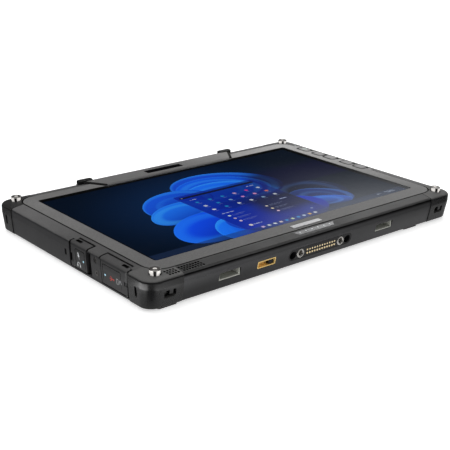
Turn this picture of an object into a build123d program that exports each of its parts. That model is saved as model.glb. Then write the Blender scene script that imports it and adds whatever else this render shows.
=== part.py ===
from build123d import *
import os

os.makedirs("parts", exist_ok=True)

# ---------------------------------------------------------------------------
# Rugged field tablet / data collector, lying on its back.
# +X along the long edge, +Y towards the camera edge, +Z out of the display.
# The origin is the centre of the rest plane under the four rubber feet.
# Near is -Y, far is +Y, left is -X, right is +X. All dimensions in millimetres.
# A pair of numbers named ..._X, ..._Y or ..._Z holds the limits along that axis;
# a single number is a half size or a place, as its comment says.
# ---------------------------------------------------------------------------

# ---- casing -----------------------------------------------------------------
LENGTH = 314.0                # over the corner bumpers, X
WIDTH = 207.0                 # over the corner bumpers, Y
PROUD = 0.5                   # bumpers stand this far out of the casing
BELT_X = LENGTH / 2 - PROUD   # casing half length at the parting line
BELT_Y = WIDTH / 2 - PROUD    # casing half width at the parting line
BELT_R = 10.5                 # plan corner radius at the parting line
BASE_X, BASE_Y, BASE_R = 155.2, 100.2, 9.0   # drafted-in bottom: half sizes, radius
Z_BASE = 1.3                  # underside of the rear housing
Z_BELT = 16.0                 # parting line between the two housings
Z_BAND = 22.4                 # top of the upright band, before its rounding
Z_RIM = 24.2                  # rim height where it meets the bezel
RIM_ROUND = 2.4
BASE_EDGE = 0.7               # bevel around the underside
RIM_X, RIM_Y, RIM_R = 145.7, 93.2, 14.5      # rim opening: half sizes, radius
FLOOR_T = 2.0                 # rear floor thickness
Z_FLOOR = Z_BASE + FLOOR_T    # inside of the floor
Z_ROOT = Z_BASE + 1           # raised floor features start here, inside the floor
CAV_X, CAV_Y = 153.0, 98.2    # half distances between the inner side walls
CAVITIES = (                  # half x, half y, corner radius; their union is hollow
    (125.5, CAV_Y, 0.4),
    (CAV_X, 77.5, 0.4),
    (149.7, 94.9, 20),
)
CORE_IN = 3.0                 # bumper thickness, measured into the casing
CORE_TOP = 21.9               # top of the housing under the bumpers
FIT = 0.05                    # clearance between a bumper and the housings
SEAM_X, SEAM_Y = 128.0, 80.0  # bumper seams on the long / short edges
SEAM_GAP = 0.1                # from the seam line to each neighbour

# ---- reach of cutters and of blocks that are trimmed afterwards -------------
REACH = 200                   # sideways, beyond every part
TOP = 40                      # above every part
BELOW = -1                    # under the casing
SKIN_TOP = 26                 # above the casing skin

# ---- screws, inserts, feet --------------------------------------------------
FEET = ((-138.5, -95.2), (109.0, -94.8), (-109.0, 94.8), (138.5, 95.2))
FOOT_LX, FOOT_LY, FOOT_R, FOOT_H = 16.5, 8.6, 2.0, 2.0
SCREWS = ((-122, -88), (-42, -88.5), (42, -88.5), (122, -88),
          (-122, 88), (-84, 91), (84, 91), (122, 88),
          (-146, 34), (-146, 66), (146, -62), (146, -32))
SCREW_BOSS_R = 3.6
SCREW_SEAT_Z = 4.1            # inner face of the screw heads
INSERTS = ((-119, -60), (119, -60), (-119, 62), (119, 62))
INSERT_R = 3.0
BOARD_POSTS = ((-98, 20), (98, 20), (-98, 80), (98, 80))

# ---- corners ----------------------------------------------------------------
CORNERS = {                   # sign of X, sign of Y
    "near_left": (-1, -1),
    "near_right": (1, -1),
    "far_left": (-1, 1),
    "far_right": (1, 1),
}
STUD_X, STUD_Y = 144.6, 93.5  # stud axes
STUDS = [(sx * STUD_X, sy * STUD_Y) for sx, sy in CORNERS.values()]
STUD_BORE_R = 2.25
TETHER_X = 138.9              # middle of the tether openings in the long edges
TETHER_Y = 97.1               # tether bar axes
TETHER_BARS = [(sx * TETHER_X, sy * TETHER_Y) for sx, sy in CORNERS.values()]
SLOT_Y, SLOT_Z = (87.1, 89.7), (7.8, 15.7)   # slots in the short edges

# ---- display ----------------------------------------------------------------
BEZ_X, BEZ_Y, BEZ_R = 145.05, 92.55, 13.9    # half sizes, radius
Z_BEZ0, Z_BEZ = 21.4, 24.4
GLASS_X, GLASS_Y, GLASS_CY = 133.0, 79.2, 1.3   # half sizes, centre in Y
GLASS_Z = (23.15, 24.25)
GLASS_SEAT_Z = 23.0
LCD_X, LCD_Y = 131.2, 77.4    # half sizes
TAB_X = 150.8                 # right end of the bezel tab that carries the buttons
TAB_Y = (-21.0, 77.0)
SENSOR = (149.8, 81.6)        # light sensor
SENSOR_BORE_R = 1.75

# ---- buttons on the right bezel ---------------------------------------------
BTN_CX, BTN_W, BTN_TOP = 145.1, 7.6, 24.6
BUTTONS = {                   # name: Y limits
    "power_button": (56.6, 68.8),
    "function_button_1": (38.0, 49.0),
    "function_button_2": (22.6, 34.2),
    "volume_up_button": (2.2, 13.0),
    "volume_down_button": (-14.0, -3.2),
}
BTN_CENTRES = [(BTN_CX, (y0 + y1) / 2) for y0, y1 in BUTTONS.values()]

# ---- far edge: camera cover and strap lugs ----------------------------------
BOSS_NEAR, BOSS_FAR = 69.5, 83.7   # half widths of the cover's foot, near and far
BOSS_Y0, BOSS_Y1 = 80.9, 103.0
BOSS_TOP = 25.4
Z_BOSS = Z_BEZ + 0.02         # underside of the platform, just over the bezel
LUG_XS = (-76.5, 76.5)        # middles of the strap lug caps
FRONT_CAM = (0, 90.0)

# ---- near edge: speaker grille and indicator strip --------------------------
SPK_ROWS = (-95.5, -97.6, -99.7)
SPK_R, SPK_PITCH, SPK_COLS = 0.78, 2.36, 13
SPK_X0, SPK_SHIFT = -138.4, 0.7    # first hole, shift from one row to the next

# ---- port covers on the left edge -------------------------------------------
PIN_X = -154.2                # hinge pin axis, X
PIN_A_Y, PIN_B_Y = -8.6, -75.4
HINGES = ((PIN_X, PIN_A_Y), (PIN_X, PIN_B_Y))
PIN_R = 0.8
BARREL_R = 2.4
SCALLOP_R = BARREL_R + 0.25
BAY_Y = (-79.2, -4.9)
BAY_Z = (3.2, 21.0)
COVER_IN = -153.3             # inner face of the covers
FLANGE_IN = -149.4            # inner edge of the cover flanges on the rim

# ---- docking edge (near long edge) ------------------------------------------
DOCK_X, DOCK_Z = 1.5, 10.1    # centre of the docking connector
DOCK_W, DOCK_H = 66.0, 9.0
STRIKE_XS, STRIKE_Z = ((-96.8, -77.6), (62.3, 81.3)), (7.9, 13.9)   # latch pockets
STRIKE_BACK = -93.2           # inner end of the latch pockets
RF_X, RF_Z = (-61.6, -44.4), (7.8, 13.4)    # radio receptacle

# ---- rear camera and battery packs ------------------------------------------
CAM_X, CAM_Y = 84.0, 56.0
REAR_LENS = (CAM_X - 4.5, CAM_Y)
REAR_LAMP = (CAM_X + 6.0, CAM_Y)
BAT_X = (7.0, 105.0)          # of the right pack; the left one is its mirror image
BAT_Y = (-71.0, 11.0)
BAT_Z = (1.4, 14.7)
BAY_GAP, BAY_WALL = 0.2, 2.0  # walls and gap around a pack, both measured from it
LATCH_Y = sum(BAT_Y) / 2      # latches sit half way along the packs
LATCH_HALF = 5.0              # half width of the slide plate
SLIDE_Z = (3.5, 5.5)
CONTACT_X, CONTACT_Y = (50.0, 62.0), (3.0, 9.0)   # contact recess in the pack

CUT, COMMON = Mode.SUBTRACT, Mode.INTERSECT


# ---------------------------------------------------------------------------
# helpers for limits
# ---------------------------------------------------------------------------
def span(sign, near, far):
    """Limits near..far from the middle plane, on the side given by sign."""
    return sorted((sign * near, sign * far))


def around(centre, half):
    """Limits half to either side of centre."""
    return centre - half, centre + half


def grow(limits, margin):
    """Limits moved outwards by margin."""
    return limits[0] - margin, limits[1] + margin


# ---------------------------------------------------------------------------
# helpers that add to (or cut from) the part being built
# ---------------------------------------------------------------------------
def tiles(plane, points, size_u, size_v, length, mode=Mode.ADD, r=0.0):
    """Equal rectangles at points of a plane, corners rounded by r, extruded."""
    with BuildSketch(plane) as face:
        with Locations(*points):
            if r > 0:
                RectangleRounded(size_u, size_v, r)
            else:
                Rectangle(size_u, size_v)
    extrude(face.sketch, amount=length, mode=mode)


def prism(plane, u, v, length, mode, r):
    """One extruded rectangle given by its limits on a plane."""
    centre = ((u[0] + u[1]) / 2, (v[0] + v[1]) / 2)
    tiles(plane, (centre,), u[1] - u[0], v[1] - v[0], length, mode, r)


def block(x, y, z, mode=Mode.ADD, r=0.0):
    """Block with its X-Y outline rounded by r."""
    prism(Plane.XY.offset(z[0]), x, y, z[1] - z[0], mode, r)


def block_y(x, y, z, mode=Mode.ADD, r=0.0):
    """Block with its X-Z outline rounded by r."""
    prism(Plane.XZ.offset(-y[1]), x, z, y[1] - y[0], mode, r)


def block_x(x, y, z, mode=Mode.ADD, r=0.0):
    """Block with its Y-Z outline rounded by r."""
    prism(Plane.YZ.offset(x[0]), y, z, x[1] - x[0], mode, r)


def bars(plane, points, r, length, mode):
    """Round bars standing on a plane at the given points."""
    with BuildSketch(plane) as face:
        with Locations(*points):
            Circle(r)
    extrude(face.sketch, amount=length, mode=mode)


def rod(points, r, z, mode=Mode.ADD):
    """Upright round bars at the given X, Y points."""
    bars(Plane.XY.offset(z[0]), points, r, z[1] - z[0], mode)


def rod_y(points, r, y, mode=Mode.ADD):
    """Round bars along Y at the given X, Z points."""
    bars(Plane.XZ.offset(-y[1]), points, r, y[1] - y[0], mode)


def rod_x(points, r, x, mode=Mode.ADD):
    """Round bars along X at the given Y, Z points."""
    bars(Plane.YZ.offset(x[0]), points, r, x[1] - x[0], mode)


def ring(plane, centre, outer, inner, length, mode=Mode.ADD):
    """Extruded frame; outer and inner are (half u, half v, corner radius)."""
    with BuildSketch(plane) as face:
        with Locations(centre):
            RectangleRounded(2 * outer[0], 2 * outer[1], outer[2])
            RectangleRounded(2 * inner[0], 2 * inner[1], inner[2], mode=CUT)
    extrude(face.sketch, amount=length, mode=mode)


def slab(plane, points, length, mode=Mode.ADD, taper=0.0):
    """Extruded polygon."""
    with BuildSketch(plane) as face:
        with BuildLine():
            Polyline(*points, close=True)
        make_face()
    extrude(face.sketch, amount=length, taper=taper, mode=mode)


def trapezoid(half0, y0, half1, y1, z0, height, mode=Mode.ADD, taper=0.0):
    """Extruded trapezoid, half0 wide to either side at y0 and half1 at y1."""
    points = ((-half0, y0), (half0, y0), (half1, y1), (-half1, y1))
    slab(Plane.XY.offset(z0), points, height, mode, taper)


def foot_blocks(margin, z, mode=Mode.ADD):
    """The four feet, margin longer and wider than nominal."""
    tiles(Plane.XY.offset(z[0]), FEET, FOOT_LX + margin, FOOT_LY + margin,
          z[1] - z[0], mode, FOOT_R + margin / 2)


def button_block(y, margin, z, mode=Mode.ADD, r=0.0):
    """Button plan grown by margin."""
    block(grow(around(BTN_CX, BTN_W / 2), margin), grow(y, margin), z, mode, r)


def dock_slot(margin, y, length, mode=Mode.ADD):
    """Stadium of the docking connector, from y towards -Y."""
    with BuildSketch(Plane.XZ.offset(-y)) as face:
        with Locations((DOCK_X, DOCK_Z)):
            SlotOverall(DOCK_W + margin, DOCK_H + margin)
    extrude(face.sketch, amount=length, mode=mode)


def hollow(z):
    """Cut the inside of the casing: a cross plus rounded corner pockets."""
    for half_x, half_y, r in CAVITIES:
        block(around(0, half_x), around(0, half_y), z, CUT, r)


def top_edges(piece):
    """Edges of the highest face of a builder's part."""
    return piece.faces().sort_by(Axis.Z)[-1].edges()


def out(piece, name):
    """Label a finished piece and write it."""
    piece.part.label = name
    export_step(piece.part, "parts/" + name + ".step")


# ---------------------------------------------------------------------------
# construction forms shared by the casing parts
# ---------------------------------------------------------------------------
def outline(half_x, half_y, r, z):
    """Rounded plan outline at height z."""
    with BuildSketch(Plane.XY.offset(z)) as plan:
        RectangleRounded(2 * half_x, 2 * half_y, r)
    return plan.sketch


def casing_skin(offset, z_top):
    """Closed outer form of the casing, moved sideways by offset."""
    draft = BASE_EDGE / (Z_BELT - Z_BASE)     # share of the draft above the bevel
    foot = outline(BASE_X + offset - BASE_EDGE, BASE_Y + offset - BASE_EDGE,
                   BASE_R + offset - BASE_EDGE, Z_BASE)
    low = outline(BASE_X + offset + draft * (BELT_X - BASE_X),
                  BASE_Y + offset + draft * (BELT_Y - BASE_Y),
                  BASE_R + offset + draft * (BELT_R - BASE_R), Z_BASE + BASE_EDGE)
    belt, band = [outline(BELT_X + offset, BELT_Y + offset, BELT_R + offset, z)
                  for z in (Z_BELT, Z_BAND)]
    rim = outline(RIM_X, RIM_Y, RIM_R, z_top)
    with BuildPart() as skin:
        loft([foot, low], ruled=True)
        loft([low, belt], ruled=True)
        extrude(belt, amount=Z_BAND - Z_BELT)
        loft([band, rim], ruled=True)
        fillet(skin.edges().filter_by_position(Axis.Z, Z_BAND - 0.01, Z_BAND + 0.01), RIM_ROUND)
    return skin.part


def housing_core(gap):
    """Housing under the bumpers, gap larger all round."""
    low = outline(BASE_X - CORE_IN + gap, BASE_Y - CORE_IN + gap, BASE_R - CORE_IN, Z_BASE - gap)
    belt = outline(BELT_X - CORE_IN + gap, BELT_Y - CORE_IN + gap, BELT_R - CORE_IN, Z_BELT)
    with BuildPart() as core:
        loft([low, belt], ruled=True)
        extrude(belt, amount=CORE_TOP + gap - Z_BELT)
    return core.part


housing_form = casing_skin(0.0, Z_RIM)
bumper_form = casing_skin(PROUD, Z_RIM + 0.1)
inlay_form = casing_skin(-0.12, Z_RIM - 0.1)      # inlays sit just inside the skin
cover_form = casing_skin(-0.05, Z_RIM + 0.05)     # port covers and bezel tab
bumper_inside = housing_core(FIT)

with BuildPart() as corner_relief:                # skin the housings lose at the corners
    for sx, sy in CORNERS.values():
        block(span(sx, SEAM_X - SEAM_GAP, REACH), span(sy, SEAM_Y - SEAM_GAP, REACH), (-5, TOP))
    add(housing_core(0.0), mode=CUT)

with BuildPart() as boss_seat:                    # recess in the rim under the camera cover
    trapezoid(BOSS_NEAR + 0.2, BOSS_Y0, BOSS_FAR + 2.2, BOSS_Y1 + 3.0, 21.95, 20)
    block((-REACH, REACH), (60, 92.0), (0, 60), CUT)

with BuildPart() as speaker_holes:                # no hole breaks into the bumper seam
    for k, y in enumerate(SPK_ROWS):
        row = [SPK_X0 + SPK_SHIFT * k + SPK_PITCH * i for i in range(SPK_COLS)]
        rod([(x, y) for x in row if abs(x + SEAM_X) > SPK_R + 0.25], SPK_R, (18, 30))

# ---------------------------------------------------------------------------
# rear housing: drafted tub with two battery bays in its floor
# ---------------------------------------------------------------------------
REAR_CUT_TOP = 20             # above the rear housing
WALL_Y = -(CAV_Y + 0.1)       # blocks on the near wall start here, inside the wall

with BuildPart() as rear_housing:
    add(housing_form)
    block((-REACH, REACH), (-REACH, REACH), (Z_BELT, TOP), CUT)
    add(corner_relief.part, mode=CUT)
    hollow((Z_FLOOR, REAR_CUT_TOP))
    # battery bay walls and roofs, then the bays themselves
    for side in (-1, 1):
        block(span(side, *grow(BAT_X, BAY_WALL)), grow(BAT_Y, BAY_WALL), (Z_ROOT, Z_BELT - 0.1))
    for side in (-1, 1):
        block(span(side, *grow(BAT_X, BAY_GAP)), grow(BAT_Y, BAY_GAP),
              (BELOW, BAT_Z[1] + BAY_GAP), CUT, r=2.2)
    # latch slots through the floor and through the bay side walls
    for side in (-1, 1):
        block(span(side, 108.9, 121.2), around(LATCH_Y, 4.2), (BELOW, 4), CUT, r=1.0)
        block(span(side, 100.0, 110.0), around(LATCH_Y, LATCH_HALF + 0.3),
              grow(SLIDE_Z, 0.1), CUT)
    # bosses
    rod(SCREWS, SCREW_BOSS_R, (Z_ROOT, Z_BELT))
    rod(INSERTS, 4.6, (Z_ROOT, 7.4))
    rod(BOARD_POSTS, 3.0, (Z_ROOT, 7.1))
    # screw holes with counterbores, insert and post bores
    rod(SCREWS, 1.65, (BELOW, REAR_CUT_TOP), CUT)
    rod(SCREWS, 3.05, (BELOW, SCREW_SEAT_Z), CUT)
    rod(INSERTS, INSERT_R + 0.05, (BELOW, 6.6), CUT)
    rod(BOARD_POSTS, 0.9, (4.5, 8), CUT)
    foot_blocks(0.1, (BELOW, FOOT_H + 0.02), CUT)
    # side bay for the port covers, with hinge scallops and pin sockets
    block((-REACH, -CAV_X), BAY_Y, (BAY_Z[0], REAR_CUT_TOP), CUT)
    rod(HINGES, SCALLOP_R, (BAY_Z[0], REAR_CUT_TOP), CUT)
    rod(HINGES, PIN_R + 0.02, (2.2, 4), CUT)
    # small blind pocket in the wall beside the first hinge
    block_x((-160, -154.4), (-1.0, 1.5), (9.4, 14.6), CUT, r=0.85)
    # docking edge: thickened stadium opening, two latch pockets, radio receptacle
    block(around(DOCK_X, 34.5), (WALL_Y, -92.0), (3.9, Z_BELT - 0.8))
    dock_slot(0.2, -80.0, 30, CUT)
    for strike_x in STRIKE_XS:
        block(grow(strike_x, 1.5), (WALL_Y, -91.5), (Z_ROOT, Z_BELT - 0.4))
        block_y(strike_x, (-REACH, STRIKE_BACK), STRIKE_Z, CUT)
    block_y(grow(RF_X, 0.1), (-REACH, -90), grow(RF_Z, 0.1), CUT, r=0.9)
    # tether recesses in the long edges, slots in the short edges, bar sockets
    for sx, sy in CORNERS.values():
        block(around(sx * TETHER_X, 5.1), span(sy, 95.9, 110.0), (7.7, 14.0), CUT)
        block(span(sx, 150.6, REACH), span(sy, *grow(SLOT_Y, 0.3)), grow(SLOT_Z, 0.2), CUT)
        rod(((sx * TETHER_X, sy * TETHER_Y),), 1.15, (7.1, 15.0), CUT)
    # rear camera: pad on the floor, outer recess, lens and lamp bores
    block(around(CAM_X, 13.5), around(CAM_Y, 9.0), (Z_ROOT, 4.6))
    block(around(CAM_X, 11.0), around(CAM_Y, 6.5), (BELOW, 2.5), CUT, r=6.0)
    rod((REAR_LENS,), 4.1, (BELOW, 6), CUT)
    rod((REAR_LAMP,), 2.1, (BELOW, 6), CUT)
    # lower ends of the stud sockets
    rod(STUDS, STUD_BORE_R, (12.2, REAR_CUT_TOP), CUT)
    # short grooves between the packs and a groove around the underside
    tiles(Plane.XY, [(0, y) for y in range(-60, 1, 10)], 7.5, 3.0, Z_BASE + 0.7, CUT, r=1.4)
    ring(Plane.XY, (0, 0), (127.0, 83.0, 8.0), (126.0, 82.0, 7.0), Z_BASE + 0.5, CUT)
out(rear_housing, "rear_housing")

# ---------------------------------------------------------------------------
# front housing: rim frame with a ledge under the bezel
# ---------------------------------------------------------------------------
FRONT_CUT_Z = 15              # under the front housing
LEDGE_Z = 19.8                # underside of the ledge
BOSS_END_Z = 20.4             # bosses run up into the ledge
BRACKET_BOSSES = [(x, y) for x in (-100, -60, 0, 60, 100) for y in (-89.6, 89.6)
                  if not (x == 0 and y > 0)]      # none at the front camera


def rim_opening():
    """Cut the opening for the bezel."""
    block(around(0, RIM_X), around(0, RIM_Y), (Z_BEZ0 - 0.05, TOP), CUT, r=RIM_R)


with BuildPart() as front_housing:
    add(housing_form)
    block((-REACH, REACH), (-REACH, REACH), (-10, Z_BELT), CUT)
    hollow((FRONT_CUT_Z, LEDGE_Z))
    add(corner_relief.part, mode=CUT)
    rim_opening()
    # opening inside the ledge, room for the button tab on the right
    block(around(0, 140.5), around(0, 88.0), (FRONT_CUT_Z, TOP), CUT, r=9)
    block((135.0, TAB_X + 0.4), grow(TAB_Y, 0.4), (FRONT_CUT_Z, TOP), CUT, r=3.4)
    add(boss_seat.part, mode=CUT)
    # sockets for the strap lug cap tongues
    for x in LUG_XS:
        block_y(around(x, 2.1), (100.9, 120), (17.9, 20.1), CUT)
    # notch for the front camera
    block(around(0, 8.5), (84.0, 94.5), (FRONT_CUT_Z, 21.9), CUT)
    # screw bosses, bosses for the display bracket
    rod(SCREWS, SCREW_BOSS_R, (Z_BELT, BOSS_END_Z))
    rod(SCREWS, 1.3, (FRONT_CUT_Z, 19.9), CUT)
    rod(BRACKET_BOSSES, 2.2, (18.85, BOSS_END_Z))
    # side bay for the port covers
    block((-REACH, -CAV_X), BAY_Y, (10, BAY_Z[1]), CUT)
    # rim cut-outs for the two cover flanges and the ends of their barrels
    for x_in, y_limits in (
            (FLANGE_IN + 0.85, (PIN_A_Y + 0.25 - 21.2, PIN_A_Y + 0.25)),
            (FLANGE_IN + 0.85, (PIN_B_Y - 0.25, -43.9)),
            (PIN_X + 2.0, (PIN_A_Y, BAY_Y[1])),
            (PIN_X + 2.0, (BAY_Y[0], PIN_B_Y))):
        block((-REACH, x_in), y_limits, (BAY_Z[1], TOP), CUT)
    rod(HINGES, SCALLOP_R, (FRONT_CUT_Z, TOP), CUT)
    # seats for the corner studs, trimmed to the relief and the rim opening
    rod(STUDS, 4.2, (Z_BELT, CORE_TOP))
    add(corner_relief.part, mode=CUT)
    rim_opening()
    rod(STUDS, STUD_BORE_R, (10, TOP), CUT)
    # speaker grille, indicator strip, light sensor well
    add(speaker_holes.part, mode=CUT)
    trapezoid(21.1, -94.4, 18.1, -99.1, 22.3, 5, CUT)
    rod((SENSOR,), SENSOR_BORE_R, (FRONT_CUT_Z, TOP), CUT)
out(front_housing, "front_housing")

# ---------------------------------------------------------------------------
# corner bumpers: elastomer caps wrapped around the four corners
# ---------------------------------------------------------------------------
for corner, (sx, sy) in CORNERS.items():
    with BuildPart() as bumper:
        add(bumper_form)
        block(span(sx, SEAM_X + SEAM_GAP, REACH), span(sy, SEAM_Y + SEAM_GAP, REACH),
              (-5, TOP), COMMON)
        add(bumper_inside, mode=CUT)
        block(around(0, RIM_X + FIT), around(0, RIM_Y + FIT), (15, TOP), CUT, r=RIM_R)
        rod(((sx * STUD_X, sy * STUD_Y),), 4.25, (15, TOP), CUT)
        # tether opening in the long edge, around a tongue offset towards +X
        y_low, y_high = span(sy, 90.0, 120.0)
        with BuildSketch(Plane.XZ.offset(-y_high)) as opening:
            with Locations((sx * TETHER_X, 10.85)):
                RectangleRounded(9.8, 5.7, 1.6)
            with Locations((sx * TETHER_X + 0.8, 12.2)):
                Rectangle(3.0, 3.2, mode=CUT)
        extrude(opening.sketch, amount=y_high - y_low, mode=CUT)
        # slot in the short edge
        block_x(span(sx, 146.0, REACH), span(sy, *SLOT_Y), SLOT_Z, CUT, r=1.2)
        foot_blocks(0.1, (BELOW, FOOT_H + 0.02), CUT)
        add(speaker_holes.part, mode=CUT)
        rod((SENSOR,), SENSOR_BORE_R, (15, TOP), CUT)
    out(bumper, "bumper_" + corner)

# bars for the tether loops, one inside each corner
with BuildPart() as tether_bars:
    rod(TETHER_BARS, 1.1, (7.2, 14.9))
out(tether_bars, "tether_bars")

# corner studs: cylindrical head with a hex socket, slimmer neck, shank
STUD_PROFILE = (              # radius, z
    (0, 12.5), (2.2, 12.5), (2.2, CORE_TOP), (3.5, CORE_TOP), (3.5, 24.25),
    (4.1, 24.42), (4.1, 26.65), (3.75, 27.0), (0, 27.0),
)
HEX_R, HEX_Z = 1.6, 26.0      # corner radius and floor of the socket

with BuildPart() as one_stud:
    with BuildSketch(Plane.XZ) as stud_half:
        with BuildLine():
            Polyline(*STUD_PROFILE, close=True)
        make_face()
    revolve(stud_half.sketch, axis=Axis.Z)
    with BuildSketch(Plane.XY.offset(HEX_Z)) as socket:
        RegularPolygon(HEX_R, 6)
    extrude(socket.sketch, amount=5, mode=CUT)

with BuildPart() as corner_studs:
    for x, y in STUDS:
        with Locations((x, y, 0)):
            add(one_stud.part)
out(corner_studs, "corner_studs")

with BuildPart() as rubber_feet:
    foot_blocks(0.0, (0, FOOT_H))
    chamfer(rubber_feet.edges().filter_by_position(Axis.Z, -0.01, 0.01), 0.35)
out(rubber_feet, "rubber_feet")

# threaded inserts for an accessory plate on the back
with BuildPart() as strap_inserts:
    rod(INSERTS, INSERT_R, (Z_BASE + 0.15, 6.5))
    rod(INSERTS, 1.65, (BELOW, 6.0), CUT)
out(strap_inserts, "strap_inserts")

# casing screws, driven from the back: head, shank, drive recess
HEAD_Z = 1.9                  # outer face of the heads
with BuildPart() as housing_screws:
    rod(SCREWS, 2.85, (HEAD_Z, SCREW_SEAT_Z))
    rod(SCREWS, 1.25, (SCREW_SEAT_Z, 19.6))
    rod(SCREWS, 0.95, (1.0, 3.0), CUT)
    head_rims = housing_screws.edges().filter_by_position(Axis.Z, HEAD_Z - 0.01, HEAD_Z + 0.01)
    chamfer(head_rims.filter_by(lambda edge: edge.length > 12), 0.4)
out(housing_screws, "housing_screws")

# ---------------------------------------------------------------------------
# display bezel with the button tab, and what sits in it
# ---------------------------------------------------------------------------
with BuildPart() as glass_gasket:
    ring(Plane.XY.offset(GLASS_SEAT_Z), (0, GLASS_CY),
         (GLASS_X - 0.2, GLASS_Y - 0.2, 2.2), (LCD_X + 0.35, LCD_Y + 0.35, 1.2), 0.14)
out(glass_gasket, "glass_gasket")

with BuildPart() as bezel_tab:                    # follows the slope of the rim
    block((BEZ_X - 8, TAB_X), TAB_Y, (Z_BEZ0, SKIN_TOP), r=3.0)
    add(cover_form, mode=COMMON)

with BuildPart() as display_bezel:
    block(around(0, BEZ_X), around(0, BEZ_Y), (Z_BEZ0, Z_BEZ), r=BEZ_R)
    chamfer(display_bezel.edges().group_by(Axis.Z)[-1], 0.25)
    add(bezel_tab.part)
    # glass seat, then the view opening
    block(around(0, GLASS_X + 0.12), around(GLASS_CY, GLASS_Y + 0.12),
          (GLASS_SEAT_Z, TOP), CUT, r=2.4)
    block(around(0, LCD_X + 0.25), around(GLASS_CY, LCD_Y + 0.25), (20, TOP), CUT, r=1.1)
    # button openings, stepped for the surrounds
    for y_limits in BUTTONS.values():
        button_block(y_limits, 1.15, (23.2, TOP), CUT, r=3.0)
        button_block(y_limits, 0.6, (20, TOP), CUT, r=2.6)
    rod((FRONT_CAM,), 2.6, (20, TOP), CUT)
out(display_bezel, "display_bezel")

with BuildPart() as button_surrounds:
    for y_limits in BUTTONS.values():
        button_block(y_limits, 1.1, (23.22, 24.36), r=2.95)
        button_block(y_limits, 0.1, (20, TOP), CUT, r=2.1)
out(button_surrounds, "button_surrounds")

BTN_Z0 = 20.5                 # underside of the caps
for name, y_limits in BUTTONS.items():
    with BuildPart() as cap:
        button_block(y_limits, 0.0, (BTN_Z0, BTN_TOP), r=2.0)
        # the power button is more domed than the others
        fillet(top_edges(cap), 0.9 if name == "power_button" else 0.45)
        # retaining flange under the bezel and the actuating stem
        button_block(y_limits, 1.4, (BTN_Z0, Z_BEZ0 - 0.1), r=1.0)
        rod(((BTN_CX, sum(y_limits) / 2),), 1.4, (20.0, BTN_Z0 + 0.1))
    out(cap, name)

BTN_BOARD_TOP = 18.9
with BuildPart() as button_board:
    block((140.2, 150.6), grow(TAB_Y, -1.5), (18.0, BTN_BOARD_TOP), r=1.0)
    # snap domes, one below each cap
    rod(BTN_CENTRES, 2.2, (BTN_BOARD_TOP, 19.3))
out(button_board, "button_board")

with BuildPart() as light_sensor_lens:
    rod((SENSOR,), SENSOR_BORE_R - 0.1, (21.4, 23.55))
    fillet(top_edges(light_sensor_lens), 0.3)
out(light_sensor_lens, "light_sensor_lens")

with BuildPart() as indicator_lightpipe:
    trapezoid(20.9, -94.55, 17.95, -98.95, 22.35, 4)
    add(housing_form, mode=COMMON)
out(indicator_lightpipe, "indicator_lightpipe")

# plain raised badge without any marking
with BuildPart() as blank_badge:
    block(around(0, 15.0), around(-87.0, 2.6), (Z_BEZ, Z_BEZ + 0.35), r=1.2)
    fillet(top_edges(blank_badge), 0.15)
out(blank_badge, "blank_badge")

# ---------------------------------------------------------------------------
# camera cover: raised wedge on the far edge
# ---------------------------------------------------------------------------
BOSS_FOOT_Z = 22.0
BOSS_TAPER = 48               # degrees, slope of the platform sides
BOSS_PROFILE = (              # y, z: slope down to a broken far edge
    (70, 20), (70, 30), (97.0, 30), (98.6, BOSS_TOP), (101.8, 24.1),
    (102.8, 23.2), (BOSS_Y1, 22.4), (BOSS_Y1, 20),
)
WINDOW_X, WINDOW_Y = (-21.5, 16.4), (85.9, 93.1)

with BuildPart() as camera_boss_cover:
    trapezoid(BOSS_NEAR, BOSS_Y0, BOSS_FAR, BOSS_Y1, BOSS_FOOT_Z, Z_BOSS - BOSS_FOOT_Z)
    # only the part outside the bezel reaches down into the rim
    block((-REACH, REACH), (60, RIM_Y + 0.15), (0, Z_BOSS), CUT)
    # raised platform with sloping sides
    trapezoid(BOSS_NEAR, BOSS_Y0, BOSS_FAR, BOSS_Y1, Z_BOSS, BOSS_TOP - Z_BOSS,
              taper=BOSS_TAPER)
    slab(Plane.YZ.offset(-100), BOSS_PROFILE, 200, COMMON)
    # window recess, lens bore, pockets for the lug caps
    block(grow(WINDOW_X, 0.2), grow(WINDOW_Y, 0.2), (24.75, TOP), CUT, r=0.6)
    rod((FRONT_CAM,), 2.7, (20, TOP), CUT)
    for x in LUG_XS:
        block(around(x, 7.5), (97.9, 110), (23.2, TOP), CUT, r=3.0)
out(camera_boss_cover, "camera_boss_cover")

with BuildPart() as camera_window:
    block(WINDOW_X, WINDOW_Y, (24.77, 25.15), r=0.5)
out(camera_window, "camera_window")

CAM_BODY_TOP = 21.3
with BuildPart() as front_camera:
    block(around(FRONT_CAM[0], 4.0), around(FRONT_CAM[1], 4.0), (17.2, CAM_BODY_TOP), r=0.5)
    rod((FRONT_CAM,), 2.4, (CAM_BODY_TOP, 24.7))
    rod((FRONT_CAM,), 1.1, (24.2, 25), CUT)
out(front_camera, "front_camera")

# rubber caps over the strap lugs on the far edge
LIP_Y = (103.05, 104.2)
with BuildPart() as strap_lug_caps:
    for x in LUG_XS:
        # oval pad lying on the edge of the camera cover
        block(around(x, 7.3), (98.1, LIP_Y[1]), (23.25, 26.1), r=2.9)
    fillet(strap_lug_caps.faces().group_by(Axis.Z)[-1].edges(), 0.8)
    for x in LUG_XS:
        # lip over the casing wall with its locating tongue
        block_y(around(x, 5.5), LIP_Y, (17.0, 24.0), r=2.0)
        block_y(around(x, 2.0), (101.0, 103.2), (18.0, 20.0))
out(strap_lug_caps, "strap_lug_caps")

# ---------------------------------------------------------------------------
# display stack
# ---------------------------------------------------------------------------
with BuildPart() as cover_glass:
    block(around(0, GLASS_X), around(GLASS_CY, GLASS_Y), GLASS_Z, r=2.3)
    chamfer(top_edges(cover_glass), 0.15)
out(cover_glass, "cover_glass")

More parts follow.
